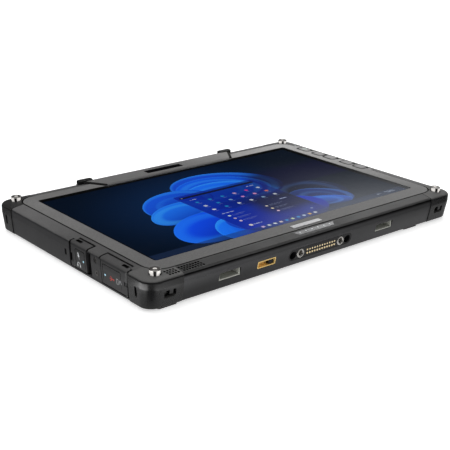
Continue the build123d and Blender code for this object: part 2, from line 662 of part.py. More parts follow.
with BuildPart() as lcd_panel:
    block(around(0, LCD_X), around(GLASS_CY, LCD_Y), (21.05, 23.1), r=0.8)
out(lcd_panel, "lcd_panel")

with BuildPart() as backlight_unit:
    block(around(0, LCD_X - 0.2), around(GLASS_CY, LCD_Y - 0.2), (18.9, 21.0), r=0.6)
out(backlight_unit, "backlight_unit")

BRACKET_Z = (18.0, 18.8)
with BuildPart() as display_bracket:
    block(around(0, 138.5), around(0, 91.0), BRACKET_Z, r=8)
    # central window
    block(around(0, 60), around(0, 50), grow(BRACKET_Z, 1), CUT, r=6)
    # side walls around the backlight unit
    ring(Plane.XY.offset(BRACKET_Z[1]), (0, GLASS_CY),
         (LCD_X + 1.0, LCD_Y + 1.0, 2.0), (LCD_X + 0.3, LCD_Y + 0.3, 1.2), 2.0)
    # room for the front camera and for the casing bosses
    block(around(0, 6), around(FRONT_CAM[1], 5.0), (10, TOP), CUT)
    rod(SCREWS, SCREW_BOSS_R + 0.4, (10, TOP), CUT)
out(display_bracket, "display_bracket")

# U-shaped speaker box on the near wall, with a small round boss on top
SPK_BOX_X, SPK_BOX_Y, SPK_BOX_Z = (-124.5, -101.5), (-97.6, -92.2), (12.0, 19.3)
with BuildPart() as speaker_module:
    block((SPK_BOX_X[0], -117.2), SPK_BOX_Y, SPK_BOX_Z)
    block((-107.0, SPK_BOX_X[1]), SPK_BOX_Y, SPK_BOX_Z)
    block(SPK_BOX_X, (SPK_BOX_Y[0], -94.4), SPK_BOX_Z)
    rod(((sum(SPK_BOX_X) / 2, -96.0),), 1.4, (SPK_BOX_Z[1], 19.6))
out(speaker_module, "speaker_module")

# ---------------------------------------------------------------------------
# port bay on the left edge
# ---------------------------------------------------------------------------
FRAME_X = (-152.9, -149.4)
THROUGH_X = (-160, -140)      # cutters through the bay
PORT_FRONT, PORT_BACK = -152.6, -141.2      # outer and inner ends of the connectors
# connector centres: y, z
USB_C, AUDIO, USB_A, POWER = (-22.0, 15.05), (-22.0, 7.6), (-66.0, 12.05), (-53.5, 12.0)
DIVIDER_SCREWS = ((-39.8, 18.3), (-40.6, 8.8))     # y, z


def port_block(x, centre, half_y, half_z, mode=Mode.ADD, r=0.0):
    """Block along X about a connector centre (y, z)."""
    block_x(x, around(centre[0], half_y), around(centre[1], half_z), mode, r)


with BuildPart() as port_frame:
    block(FRAME_X, (-77.2, -2.5), (3.4, 19.7))
    # finger relief between the first cover and the divider
    block((FRAME_X[0] - 1, -150.6), (-33.3, -28.1), (4.6, 18.6), CUT)
    # scallops behind the hinge barrels
    rod(HINGES, SCALLOP_R, (0, TOP), CUT)
    # hinge lugs
    for pin_y, lug_z in ((PIN_A_Y, (7.8, 14.0)), (PIN_B_Y, (11.0, 13.8))):
        rod(((PIN_X, pin_y),), 1.6, lug_z)
        block((PIN_X, FRAME_X[0] + 2.2), around(pin_y, 1.6), lug_z)
    rod(HINGES, PIN_R + 0.01, (0, TOP), CUT)
    # port openings and divider screw holes
    port_block(THROUGH_X, USB_C, 4.7, 1.75, CUT, r=1.7)
    rod_x((AUDIO,), 3.15, THROUGH_X, CUT)
    port_block(THROUGH_X, USB_A, 6.8, 2.95, CUT, r=0.5)
    rod_x((POWER,), 3.75, THROUGH_X, CUT)
    rod_x(DIVIDER_SCREWS, 0.85, THROUGH_X, CUT)
out(port_frame, "port_frame")

DIVIDER_SEAT_X = -155.0       # seat of the screw heads in the divider
with BuildPart() as port_divider:
    block((-REACH, FRAME_X[0] - 0.15), (-46.0, -33.7), grow(BAY_Z, -0.1))
    add(inlay_form, mode=COMMON)
    rod_x(DIVIDER_SCREWS, 1.05, THROUGH_X, CUT)
    rod_x(DIVIDER_SCREWS, 2.15, (-REACH, DIVIDER_SEAT_X), CUT)
out(port_divider, "port_divider")

with BuildPart() as port_divider_screws:
    rod_x(DIVIDER_SCREWS, 2.05, (-155.95, DIVIDER_SEAT_X))
    rod_x(DIVIDER_SCREWS, 0.8, (DIVIDER_SEAT_X, -149.6))
    rod_x(DIVIDER_SCREWS, 0.75, (-157, -155.5), CUT)
out(port_divider_screws, "port_divider_screws")

with BuildPart() as cover_hinge_pins:
    rod(HINGES, PIN_R, (2.3, 20.8))
out(cover_hinge_pins, "cover_hinge_pins")

# each cover: side plate + flange over the rim + hinge barrel, hung on its pin
COVERS = (
    # name, pin y, free edge y, flange end y, lug notch z, side of the hinge in y
    ("port_cover_a", PIN_A_Y, -27.5, -28.4, (7.6, 14.2), 1),
    ("port_cover_b", PIN_B_Y, -46.8, -44.8, (10.8, 14.0), -1),
)
COVER_Z = (BAY_Z[0] + 0.85, SKIN_TOP)
for name, pin_y, free, flange, notch_z, side in COVERS:
    with BuildPart() as cover:
        block((-REACH, COVER_IN), sorted((pin_y, free)), COVER_Z)
        block((-REACH, FLANGE_IN), sorted((pin_y, flange)), (BAY_Z[1] + 0.12, SKIN_TOP))
        rod(((PIN_X, pin_y),), BARREL_R, COVER_Z)
        # between flange end and free edge the side plate stops below the rim
        block((-REACH, FLANGE_IN + 2), sorted((flange, free - side * 5)),
              (BAY_Z[1] - 0.12, TOP), CUT)
        add(cover_form, mode=COMMON)
        # the barrel end is round
        with BuildSketch(Plane.XY) as end_keep:
            with Locations((PIN_X, pin_y)):
                Circle(BARREL_R)
            with Locations((PIN_X, pin_y - side * 50.0)):
                Rectangle(60, 100)
        extrude(end_keep.sketch, amount=TOP, mode=COMMON)
        # lug notch and pin bore
        rod(((PIN_X, pin_y),), 2.0, notch_z, CUT)
        block(THROUGH_X, sorted((pin_y - side * 0.8, pin_y + side * 5)), notch_z, CUT)
        block((PIN_X, COVER_IN + 3), sorted((pin_y - side * 2.6, pin_y + side * 5)),
              notch_z, CUT)
        rod(((PIN_X, pin_y),), PIN_R + 0.06, (0, 20.95), CUT)
        # frame-shaped groove in the outer face and a tool slot in the flange
        groove_y = sorted((pin_y - side * 4.6, free + side * 1.8))
        groove_half = (groove_y[1] - groove_y[0]) / 2
        ring(Plane.YZ.offset(-REACH), (sum(groove_y) / 2, 12.0), (groove_half, 7.2, 1.4),
             (groove_half - 0.5, 6.7, 1.0), REACH - 155.55, CUT)
        block((-153.3, -151.3), sorted((pin_y - side * 1.4, pin_y - side * 7.4)),
              (22.4, TOP), CUT)
    out(cover, name)

for name, seal_y in (("port_seal_a", (-26.8, -12.8)), ("port_seal_b", (-71.0, -48.6))):
    with BuildPart() as seal:
        block_x((COVER_IN, -152.98), seal_y, (4.6, 19.0), r=1.5)
    out(seal, name)

# connectors behind the bay: shell, its bore, tongue or centre pin
with BuildPart() as usb_c_port:
    port_block((PORT_FRONT, PORT_BACK), USB_C, 4.5, 1.6, r=1.55)
    port_block((-160, -144.5), USB_C, 4.1, 1.2, CUT, r=1.15)
    port_block((-151.4, -144.4), USB_C, 3.0, 0.35)
out(usb_c_port, "usb_c_port")

JACK_BODY_X = (-149.3, PORT_BACK)
with BuildPart() as audio_jack:
    rod_x((AUDIO,), 3.0, (PORT_FRONT, -149.0))
    block_x(JACK_BODY_X, around(AUDIO[0], 3.5), (4.4, 11.4))
    rod_x((AUDIO,), 1.75, (-160, -142.5), CUT)
out(audio_jack, "audio_jack")

with BuildPart() as usb_a_port:
    port_block((PORT_FRONT, PORT_BACK), USB_A, 6.6, 2.8, r=0.4)
    port_block((-160, -143.0), USB_A, 6.1, 2.3, CUT, r=0.2)
    block_x((-151.6, -142.8), around(USB_A[0], 5.4), (12.2, 13.9))
out(usb_a_port, "usb_a_port")

with BuildPart() as power_jack:
    rod_x((POWER,), 3.6, (PORT_FRONT, -148.0))
    port_block(JACK_BODY_X, POWER, 4.4, 4.4)
    rod_x((POWER,), 2.75, (-160, -142.4), CUT)
    rod_x((POWER,), 0.5, (-151.0, -142.3))
out(power_jack, "power_jack")

with BuildPart() as io_board:
    block((PORT_BACK + 0.1, -139.6), (-74.0, -8.0), (4.0, 17.6))
out(io_board, "io_board")

# ---------------------------------------------------------------------------
# docking edge
# ---------------------------------------------------------------------------
BUSH_DX, HOLE_DX = 20.95, 28.4    # guide bushes and round holes, from the centre
PIN_COLS, PIN_PITCH = 12, 2.59
PIN_ROWS = (8.5, 11.2)            # z
DOCK_PIN_R = 0.75
DOCK_PINS = [(DOCK_X + 0.3 + (i - (PIN_COLS - 1) / 2) * PIN_PITCH, z)
             for i in range(PIN_COLS) for z in PIN_ROWS]
DOCK_HOLES = [(DOCK_X + dx, DOCK_Z - 0.4) for dx in (-HOLE_DX, HOLE_DX)]
BUSHES = [(DOCK_X + dx, DOCK_Z) for dx in (-BUSH_DX, BUSH_DX)]
BUSH_R, BUSH_Y = 3.6, (-102.35, -94.6)

with BuildPart() as dock_connector_body:
    dock_slot(-0.2, -92.4, 15)
    add(inlay_form, mode=COMMON)
    rod_y(DOCK_HOLES, 3.3, (-110, -94.5), CUT)
    rod_y(BUSHES, BUSH_R + 0.05, (-110, -94.5), CUT)
    rod_y(DOCK_PINS, DOCK_PIN_R + 0.02, (-110, -90), CUT)
out(dock_connector_body, "dock_connector_body")

with BuildPart() as dock_pins:
    rod_y(DOCK_PINS, DOCK_PIN_R, (-101.9, -91.0))
out(dock_pins, "dock_pins")

with BuildPart() as dock_guide_bushes:
    rod_y(BUSHES, BUSH_R, BUSH_Y)
    rod_y(BUSHES, 2.05, (-110, -95.6), CUT)
    chamfer(dock_guide_bushes.edges().filter_by_position(
        Axis.Y, BUSH_Y[0] - 0.01, BUSH_Y[0] + 0.01), 0.5)
out(dock_guide_bushes, "dock_guide_bushes")

with BuildPart() as rf_receptacle_shell:
    block_y(RF_X, (-110, -90.1), RF_Z, r=0.8)
    add(inlay_form, mode=COMMON)
    block_y(grow(RF_X, -0.7), (-120, -97.6), grow(RF_Z, -0.7), CUT, r=0.5)
out(rf_receptacle_shell, "rf_receptacle_shell")

with BuildPart() as rf_receptacle_tongue:
    block_y((RF_X[1] - 5.6, RF_X[1] - 0.8), (-100.6, -97.65), grow(RF_Z, -0.8), r=0.4)
out(rf_receptacle_tongue, "rf_receptacle_tongue")

# linings of the two dock latch pockets: floor, two jambs, back
LINING_Y = (-101.2, STRIKE_BACK - 0.05)
with BuildPart() as dock_latch_strikes:
    for strike_x in STRIKE_XS:
        x0, x1 = grow(strike_x, -0.05)
        lining_z = grow(STRIKE_Z, -0.05)
        block((x0, x1), LINING_Y, (lining_z[0], lining_z[0] + 0.7))
        block((x0, x0 + 0.8), LINING_Y, lining_z)
        block((x1 - 0.9, x1), LINING_Y, lining_z)
        block((x0, x1), (LINING_Y[1] - 0.7, LINING_Y[1]), lining_z)
out(dock_latch_strikes, "dock_latch_strikes")

# ---------------------------------------------------------------------------
# electronics
# ---------------------------------------------------------------------------
BOARD_Z = (7.15, 8.55)
BOARD_BLOCKS = (              # x limits, y limits, top: processor, memory, connectors
    ((-26, -6), (40, 60), 9.8),
    ((4, 16), (36, 64), 9.6),
    ((22, 34), (36, 64), 9.6),
    ((-80, -62), (16.5, 20.0), 12.0),
    ((62, 80), (16.5, 20.0), 12.0),
    ((-30, 30), (82.0, 88.0), 11.5),
)
with BuildPart() as mainboard:
    block((-104, 104), (15.5, 90.0), BOARD_Z, r=1.0)
    rod(SCREWS, SCREW_BOSS_R + 0.8, (5, 12), CUT)
    rod(BOARD_POSTS, 0.85, (5, 12), CUT)
    for x_limits, y_limits, top in BOARD_BLOCKS:
        block(x_limits, y_limits, (BOARD_Z[1], top))
out(mainboard, "mainboard")

FIN_Z0, FIN_H, FIN_T, FIN_PITCH, FIN_COUNT = 11.1, 3.4, 1.0, 4.0, 21
with BuildPart() as heat_spreader:
    block((-48, 44), (32, 68), (9.85, FIN_Z0), r=3)
    tiles(Plane.XY.offset(FIN_Z0), [(-42 + FIN_PITCH * i, 50) for i in range(FIN_COUNT)],
          FIN_T, 32, FIN_H)
out(heat_spreader, "heat_spreader")

# carrier with two chips
with BuildPart() as ssd_module:
    block((-96, -58), (30, 52), (8.6, 9.6))
    block((-94, -80), (32, 50), (9.6, 11.0))
    block((-78, -62), (32, 50), (9.6, 11.0))
out(ssd_module, "ssd_module")

with BuildPart() as rear_camera:
    # window plate recessed in the casing, lens barrel, lamp and module body
    block(around(CAM_X, 10.8), around(CAM_Y, 6.3), (1.7, 2.48), r=5.8)
    rod((REAR_LENS,), 3.9, (2.4, 4.7))
    rod((REAR_LAMP,), 1.9, (2.4, 4.7))
    block((CAM_X - 11.0, CAM_X + 10.0), around(CAM_Y, 5.5), (4.7, 7.0), r=0.6)
    rod((REAR_LENS,), 1.5, (1.0, 2.2), CUT)
out(rear_camera, "rear_camera")

# ---------------------------------------------------------------------------
# battery packs and their latches
# ---------------------------------------------------------------------------
SIDES = (("left", -1), ("right", 1))
GRIP_X0, GRIP_PITCH, GRIP_COUNT = 20.0, 5.0, 5      # grip grooves under a pack
RIDGE_X0, RIDGE_PITCH, RIDGE_COUNT = 115.1, 1.9, 3  # thumb grooves under a latch
BLADE_PITCH, BLADE_SLOTS = 2.2, 5

for side_name, side in SIDES:
    with BuildPart() as pack:
        block(span(side, *BAT_X), BAT_Y, BAT_Z, r=2.0)
        chamfer(pack.faces().sort_by(Axis.Z)[0].edges(), 0.4)
        # latch notch in the outer side, open at the top
        block(span(side, 100.4, 110.0), around(LATCH_Y, 6.4), (3.2, 20.0), CUT)
        # finger scoop and grip grooves on the underside
        block(span(side, 84.0, 98.0), around(LATCH_Y, 8), (0, 2.4), CUT, r=4)
        grips = [(side * (GRIP_X0 + GRIP_PITCH * i), LATCH_Y) for i in range(GRIP_COUNT)]
        tiles(Plane.XY, grips, 2.0, 44.0, BAT_Z[0] + 0.5, CUT, r=0.95)
        # contact recess in the top
        block(span(side, *CONTACT_X), CONTACT_Y, (12.0, 16), CUT)
    out(pack, "battery_pack_" + side_name)

with BuildPart() as battery_contacts:             # blade blocks hanging from the bay roofs
    for side in (-1, 1):
        block(span(side, *grow(CONTACT_X, -0.3)), grow(CONTACT_Y, -0.3),
              (12.3, BAT_Z[1] + BAY_GAP))
        for k in range(BLADE_SLOTS):
            slot_x = side * sum(CONTACT_X) / 2 + BLADE_PITCH * (k - (BLADE_SLOTS - 1) / 2)
            block(around(slot_x, 0.2), (4.1, 7.9), (11, 14.2), CUT)
out(battery_contacts, "battery_contacts")

for side_name, side in SIDES:
    with BuildPart() as latch:
        # thumb piece in the floor slot
        block(span(side, 113.3, 120.9), around(LATCH_Y, 4.0), (1.5, 3.6), r=0.9)
        # slide plate inside, with the locking tongue
        block(span(side, 105.4, 122.4), around(LATCH_Y, LATCH_HALF), SLIDE_Z)
        # thumb grooves
        ridges = [(side * (RIDGE_X0 + RIDGE_PITCH * i), LATCH_Y) for i in range(RIDGE_COUNT)]
        tiles(Plane.XY, ridges, 0.7, 6.0, 1.9, CUT)
    out(latch, "battery_latch_" + side_name)
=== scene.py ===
# Rugged tablet lying flat with its screen up.
# X runs along the long sides, Y from the near side (-Y) to the far side (+Y), +Z up.
# The port covers are on the -X side. Shader and print sizes are in millimetres,
# scene sizes in metres.
import math
from functools import cache, cached_property

import bpy
import bmesh
from mathutils import Matrix, Vector
from mathutils.bvhtree import BVHTree


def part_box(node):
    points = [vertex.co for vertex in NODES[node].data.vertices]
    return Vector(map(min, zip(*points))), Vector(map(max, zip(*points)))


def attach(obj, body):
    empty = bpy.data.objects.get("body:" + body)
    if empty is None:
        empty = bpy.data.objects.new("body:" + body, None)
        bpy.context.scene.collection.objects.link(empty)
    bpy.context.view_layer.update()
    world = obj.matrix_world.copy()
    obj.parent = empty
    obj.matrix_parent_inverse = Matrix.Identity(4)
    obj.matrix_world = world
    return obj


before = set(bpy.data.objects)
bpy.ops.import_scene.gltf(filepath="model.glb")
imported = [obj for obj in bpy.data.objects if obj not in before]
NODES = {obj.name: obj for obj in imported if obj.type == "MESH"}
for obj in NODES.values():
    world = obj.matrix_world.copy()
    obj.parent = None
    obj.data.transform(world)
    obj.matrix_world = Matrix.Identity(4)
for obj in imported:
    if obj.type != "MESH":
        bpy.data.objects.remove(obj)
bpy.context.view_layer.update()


MM = 0.001
scene = bpy.context.scene


# ---------------------------------------------------------------------------
# node expressions
# ---------------------------------------------------------------------------
def forward(operation):
    """Method that adds a Math node with the signal as its first input."""
    return lambda self, *others: self.tree.math(operation, self, *others)


def reflected(operation):
    """Method that adds a Math node with the signal as its second input."""
    return lambda self, other: self.tree.math(operation, other, self)


class Signal:
    """Float output of a node; arithmetic on it adds Math nodes."""

    def __init__(self, tree, socket):
        self.tree, self.socket = tree, socket

    __add__ = forward("ADD")
    __radd__ = reflected("ADD")
    __sub__ = forward("SUBTRACT")
    __rsub__ = reflected("SUBTRACT")
    __mul__ = forward("MULTIPLY")
    __rmul__ = reflected("MULTIPLY")
    __truediv__ = forward("DIVIDE")
    __abs__ = forward("ABSOLUTE")
    sin = forward("SINE")
    sqrt = forward("SQRT")
    max = forward("MAXIMUM")
    min = forward("MINIMUM")
    round = forward("ROUND")

    def clamp(self):
        return self.tree.math("ADD", self, 0.0, clamp=True)

    def index(self, last):
        """Nearest whole number from 0 to last."""
        return self.round().max(0.0).min(last)

    def remap(self, from_min, from_max, to_min, to_max, interpolation="LINEAR"):
        return Signal(self.tree, self.tree.node("ShaderNodeMapRange", {
            "Value": self, "From Min": from_min, "From Max": from_max,
            "To Min": to_min, "To Max": to_max},
            interpolation_type=interpolation, clamp=True).outputs["Result"])

    def smooth(self, zero_at, one_at):
        """0 at zero_at and 1 at one_at, eased between; either may be the larger."""
        if zero_at < one_at:
            return self.remap(zero_at, one_at, 0.0, 1.0, "SMOOTHSTEP")
        return self.remap(one_at, zero_at, 1.0, 0.0, "SMOOTHSTEP")


def hypot(across, along):
    return (across * across + along * along).sqrt()


def rounded_box(x, y, half_x, half_y, radius):
    """Signed distance to a rounded rectangle around the origin."""
    over_x = abs(x) - (half_x - radius)
    over_y = abs(y) - (half_y - radius)
    return hypot(over_x.max(0.0), over_y.max(0.0)) + over_x.max(over_y).min(0.0) - radius


class Tree:
    """Small builder around a node tree."""

    def __init__(self, node_tree):
        self.node_tree = node_tree
        node_tree.nodes.clear()

    def node(self, kind, inputs=None, **props):
        node = self.node_tree.nodes.new(kind)
        for key, value in props.items():
            setattr(node, key, value)
        for key, value in (inputs or {}).items():
            self.put(value, node.inputs[key])
        return node

    def put(self, value, socket):
        """Link a signal or an output into an input, or set the input's value."""
        if isinstance(value, Signal):
            value = value.socket
        if isinstance(value, bpy.types.NodeSocket):
            self.node_tree.links.new(value, socket)
            return
        if isinstance(value, tuple) and len(value) == 3 and len(socket.default_value) == 4:
            value = (*value, 1.0)
        socket.default_value = value

    def math(self, operation, *values, clamp=False):
        node = self.node("ShaderNodeMath", dict(enumerate(values)),
                         operation=operation, use_clamp=clamp)
        return Signal(self, node.outputs[0])

    def split(self, vector):
        parts = self.node("ShaderNodeSeparateXYZ", {0: vector})
        return [Signal(self, output) for output in parts.outputs]

    @cached_property
    def place(self):
        """Object position, in metres."""
        return self.node("ShaderNodeTexCoord").outputs["Object"]

    @cached_property
    def place_parts(self):
        return self.split(self.place)

    @cached_property
    def x(self):
        return self.place_parts[0] * 1000.0

    @cached_property
    def y(self):
        return self.place_parts[1] * 1000.0

    @cached_property
    def z(self):
        return self.place_parts[2] * 1000.0

    @cached_property
    def facing(self):
        """World normal components of the surface."""
        return self.split(self.node("ShaderNodeNewGeometry").outputs["Normal"])

    def upward(self):
        """1 on surfaces that look up."""
        return self.facing[2].smooth(0.30, 0.80)

    def blend(self, blend_type, factor, below, above):
        return self.node("ShaderNodeMix", {0: factor, 6: below, 7: above},
                         data_type="RGBA", blend_type=blend_type, clamp_factor=True).outputs[2]

    def mix(self, factor, below, above):
        return self.blend("MIX", factor, below, above)

    def grey(self, level):
        return self.node("ShaderNodeCombineColor", {i: level for i in range(3)}).outputs[0]

    def tint(self, colour, factor):
        """Colour times a float."""
        return self.blend("MULTIPLY", 1.0, colour, self.grey(factor))

    def noise(self, size, detail=2.0, rough=0.5, stretch=None):
        vector = self.place
        if stretch:
            vector = self.node("ShaderNodeMapping", {"Scale": stretch, "Vector": vector}).outputs[0]
        node = self.node("ShaderNodeTexNoise", {
            "Scale": 1000.0 / size, "Detail": detail, "Roughness": rough, "Vector": vector})
        return Signal(self, node.outputs["Fac"])

    def cells(self, size):
        node = self.node("ShaderNodeTexVoronoi", {"Scale": 1000.0 / size, "Vector": self.place},
                         feature="SMOOTH_F1")
        return Signal(self, node.outputs["Distance"])

    def edges(self, radius):
        """Rounded normal, and a wear mask that is high on convex edges."""
        bevel = self.node("ShaderNodeBevel", {"Radius": radius * MM}, samples=6).outputs[0]
        geometry = self.node("ShaderNodeNewGeometry")
        dot = self.node("ShaderNodeVectorMath", {0: bevel, 1: geometry.outputs["Normal"]},
                        operation="DOT_PRODUCT")
        bend = 1.0 - Signal(self, dot.outputs["Value"])
        point = Signal(self, geometry.outputs["Pointiness"])
        return bevel, bend.smooth(0.015, 0.16) * point.smooth(0.46, 0.52)

    def nook(self, distance, closed=0.15, opened=0.85):
        """1 in the open, towards 0 deep in seams and recesses; ambient occlusion that paints shade.
        """
        node = self.node("ShaderNodeAmbientOcclusion", {"Distance": distance * MM}, samples=4)
        return Signal(self, node.outputs["AO"]).smooth(closed, opened)

    def bump(self, height, depth, normal=None):
        inputs = {"Strength": 1.0, "Distance": depth * MM, "Height": height}
        if normal is not None:
            inputs["Normal"] = normal
        return self.node("ShaderNodeBump", inputs).outputs[0]

    def principled(self, colour, rough, normal, metallic=0.0, spec=0.5, coat=0.0,
                   coat_rough=0.1, glow=None):
        """glow is an optional pair: emission colour and strength."""
        inputs = {"Base Color": colour, "Roughness": rough, "Metallic": metallic,
                  "Specular IOR Level": spec, "Coat Weight": coat,
                  "Coat Roughness": coat_rough, "Normal": normal}
        if glow:
            inputs["Emission Color"], inputs["Emission Strength"] = glow
        return self.node("ShaderNodeBsdfPrincipled", inputs).outputs[0]

    def mix_shader(self, factor, first, second):
        return self.node("ShaderNodeMixShader", {0: factor, 1: first, 2: second}).outputs[0]

    def finish(self, shader, kind="ShaderNodeOutputMaterial"):
        self.node(kind, {"Surface": shader})


FINISHES = {}


def material(name):
    """New material, kept in FINISHES, and the builder for its nodes."""
    look = bpy.data.materials.new("look_" + name)
    look.use_nodes = True
    FINISHES[name] = look
    return look, Tree(look.node_tree)


def scaled(colour, gain, lift=0.0):
    return tuple(min(1.0, gain * part + lift) for part in colour)


# ---------------------------------------------------------------------------
# painted light and shade on mouldings: each takes the painted light level (1 unshaded, 0 painted
# dark) and returns it
# ---------------------------------------------------------------------------
def rim_seam(tree, painted_light_level):
    """Painted shade: a dark line in the seam around the rim of the screen side."""
    outline = rounded_box(tree.x, tree.y, half_x=145.7, half_y=93.2, radius=14.5)
    return painted_light_level * outline.smooth(0.05, 0.40)


def pocket_walls(tree, painted_light_level):
    """Painted shade: the walls of pockets cut into the leaning casing sides are painted dark."""
    foot_z = 1.3
    inward, outward = [], []
    # half size at the foot and outward lean per mm of height
    for axis, half, lean in ((tree.y, 100.2, 0.190), (tree.x, 155.2, 0.088)):
        inward.append(axis + half + (tree.z - foot_z) * lean)
        outward.append(half + (tree.z - foot_z) * lean - axis)
    deep = inward[0].min(inward[1]).min(outward[0].min(outward[1]))
    dark = (deep.smooth(0.45, 0.95) * tree.z.smooth(22.3, 21.6)
            * tree.facing[2].smooth(0.6, 0.4) * tree.z.smooth(1.5, 2.2))
    return painted_light_level * (1.0 - dark)


def near_side_painted_light(tree, painted_light_level):
    """Painted light and shade on the near long side: lighter high up towards -X and low down
    towards +X, darker the other way.
    """
    strength = 1.0
    along = (tree.x / 110.0 * 0.5 + 0.5).clamp() * 2.0 - 1.0
    height = tree.z.smooth(6.0, 19.0)
    light_and_shade = (1.0 - height) * (0.97 + along * 0.36) + height * (1.14 - along * 0.38)
    near = tree.facing[1].smooth(-0.4, -0.8)
    return painted_light_level * (1.0 + near * (light_and_shade - 1.0) * strength)


def near_rim_painted_shade(tree, painted_light_level):
    """Painted shade: a darker strip on top of the near rim, stronger towards -X."""
    strength = 1.0
    strip = tree.y.smooth(-90.5, -95.0) * tree.upward()
    return painted_light_level * (1.0 - strip * (0.50 - tree.x * 0.0013) * strength)


def far_left_painted_shade(tree, painted_light_level):
    """Painted shade: a darker top at the -X +Y corner."""
    corner = tree.upward() * tree.x.smooth(-120.0, -140.0) * tree.y.smooth(30.0, 70.0)
    return painted_light_level * (1.0 - corner * 0.38)


def flange_painted_shade(tree, painted_light_level):
    """Painted shade: dark slots, and dark gaps along the borders of the port cover flanges."""
    for slot_y in (-13.0, -71.0):
        slot = rounded_box(tree.x + 152.3, tree.y - slot_y, half_x=1.2, half_y=3.4, radius=0.4)
        painted_light_level = painted_light_level * (1.0 - slot.smooth(0.25, -0.05) * tree.z.smooth(21.6, 22.0))
    rim = tree.x + 149.4
    first_end = abs(tree.y + 28.4).smooth(0.75, 0.40)
    ends = first_end.max(abs(tree.y + 44.8).smooth(0.75, 0.40))
    border = rim.smooth(-0.80, -0.45).max(ends)
    return painted_light_level * (1.0 - border * tree.z.smooth(20.5, 21.5) * 0.95)


def grille_holes(tree, painted_light_level):
    """Painted shade in three staggered rows of up to 13 holes near the -X -Y corner."""
    pitch = 2.36
    for row in range(3):
        first_x = -138.4 + 0.7 * row
        hole_x = ((tree.x - first_x) / pitch).index(12.0) * pitch + first_x
        distance = hypot(tree.x - hole_x, tree.y - (-95.5 - 2.1 * row))
        # no holes close to x = -128
        hole = (distance.smooth(1.02, 0.84) * abs(hole_x + 128.0).smooth(0.99, 1.04)
                * tree.z.smooth(21.0, 21.5))
        painted_light_level = painted_light_level * (1.0 - hole * 0.97)
    return painted_light_level


def bezel_seams(tree, painted_light_level):
    """Painted shade in the gaps around the five keys, and along the outline of the bezel with its
    key tab.
    """
    gap = 1.15
    # near and far end of each key along Y
    for near, far in ((56.6, 68.8), (38.0, 49.0), (22.6, 34.2), (2.2, 13.0), (-14.0, -3.2)):
        ring = rounded_box(tree.x - 145.1, tree.y - (near + far) / 2,
                           half_x=3.8 + gap, half_y=(far - near) / 2 + gap, radius=3.0)
        painted_light_level = painted_light_level * ring.smooth(0.25, 0.85)
    tab = tree.x.smooth(141.0, 142.0) * abs(tree.y - 28.0).smooth(51.0, 50.0)
    outline = rounded_box(tree.x, tree.y, half_x=145.05, half_y=92.55, radius=13.9)
    line = outline.smooth(-0.40, -0.15) * (1.0 - tab) * 0.8
    tab_edge = abs(tree.x - 150.2).smooth(0.5, 0.15) * tab
    return painted_light_level * (1.0 - line.max(tab_edge * 0.6))


def wedge_ends(tree, painted_light_level):
    """Painted shade on the slanting ends of the camera boss."""
    past_end = abs(tree.x) - (69.5 + (tree.y - 80.9) * 0.6425 - 3.4)
    return painted_light_level * past_end.smooth(0.25, -0.25)


# ---------------------------------------------------------------------------
# families of finish
# ---------------------------------------------------------------------------
def moulded(name, colour, rough, grain=0.45, depth=0.03, vary=0.14, wear=0.35, wear_colour=None,
            edge=0.3, spec=0.5, scuff=0.0, coat=0.0, nook=2.2, top=None, top_rough=None,
            painted_light_sweep=0.0, far_painted_light=0.0, corner_painted_light=0.0, shading=()):
    """Grained moulding with worn edges.

    grain, depth, edge and nook are sizes in mm, nook being the reach of the painted shade in
    recesses;
    vary, wear and scuff are strengths. top is a lighter colour painted on surfaces that look up, as
    light from above; top_rough changes their roughness. The sweep, far and corner strengths paint
    light towards +X +Y, towards +Y and at the -X +Y corner of the top, shade where negative.
    shading lists the functions that paint light and shade, in order.
    """
    _, tree = material(name)
    normal, worn = tree.edges(edge)
    fine = tree.noise(grain, 3.0, 0.55)
    pebble = tree.cells(grain * 1.9)
    broad = tree.noise(34.0, 4.0, 0.55)
    patch = tree.noise(7.0, 3.0, 0.6)
    speck = fine.smooth(0.40, 0.68)
    tone = (1.0 + (broad - 0.5) * (2.0 * vary) + (patch - 0.5) * vary
            + (speck - 0.45) * (1.7 * vary))
    # painted light: surfaces that look up take the lighter top colour
    base = tree.tint(tree.mix(tree.upward(), colour, top) if top else colour, tone)
    # painted light towards +X +Y, towards +Y and at the -X +Y corner of the top; shade where the
    # strength is negative
    if painted_light_sweep:
        base = tree.tint(base, 1.0 + (tree.x + tree.y * 0.8).smooth(55.0, 205.0) * painted_light_sweep)
    if far_painted_light:
        base = tree.tint(base, 1.0 + tree.y.smooth(-95.0, 60.0) * far_painted_light)
    if corner_painted_light:
        corner = tree.upward() * tree.x.smooth(-120.0, -140.0) * tree.y.smooth(-60.0, 70.0)
        base = tree.tint(base, 1.0 + corner * corner_painted_light)

    wear_colour = wear_colour or scaled(colour, 2.6, 0.03)
    mask = worn * (patch + (fine - 0.5) * 0.6).smooth(0.36, 0.66) * wear
    base = tree.mix(mask, base, wear_colour)
    gloss = rough + (broad - 0.5) * 0.22 + (fine - 0.5) * 0.12 - mask * 0.12
    if scuff:
        along_x = tree.noise(2.4, stretch=(0.06, 1.0, 1.0))
        along_y = tree.noise(2.2, stretch=(1.0, 0.05, 1.0))
        scratches = along_x.max(along_y).smooth(0.66, 0.74) * scuff
        base = tree.mix(scratches, base, wear_colour)
        gloss = gloss + scratches * 0.15
    if top_rough is not None:
        gloss = gloss + tree.upward() * (top_rough - rough)
    normal = tree.bump(fine * 0.6 + pebble * 0.8, depth, normal)

    # painted shade in seams and recesses from ambient occlusion, then the painted light and shade
    # of each shading function, taken into the base colour and the specular level
    painted_light_level = tree.nook(nook)
    for paint_shading in shading:
        painted_light_level = paint_shading(tree, painted_light_level)
    base = tree.tint(base, 0.07 + 0.93 * painted_light_level)
    tree.finish(tree.principled(base, gloss.clamp(), normal, coat=coat,
                                spec=(0.12 + 0.88 * painted_light_level) * spec))


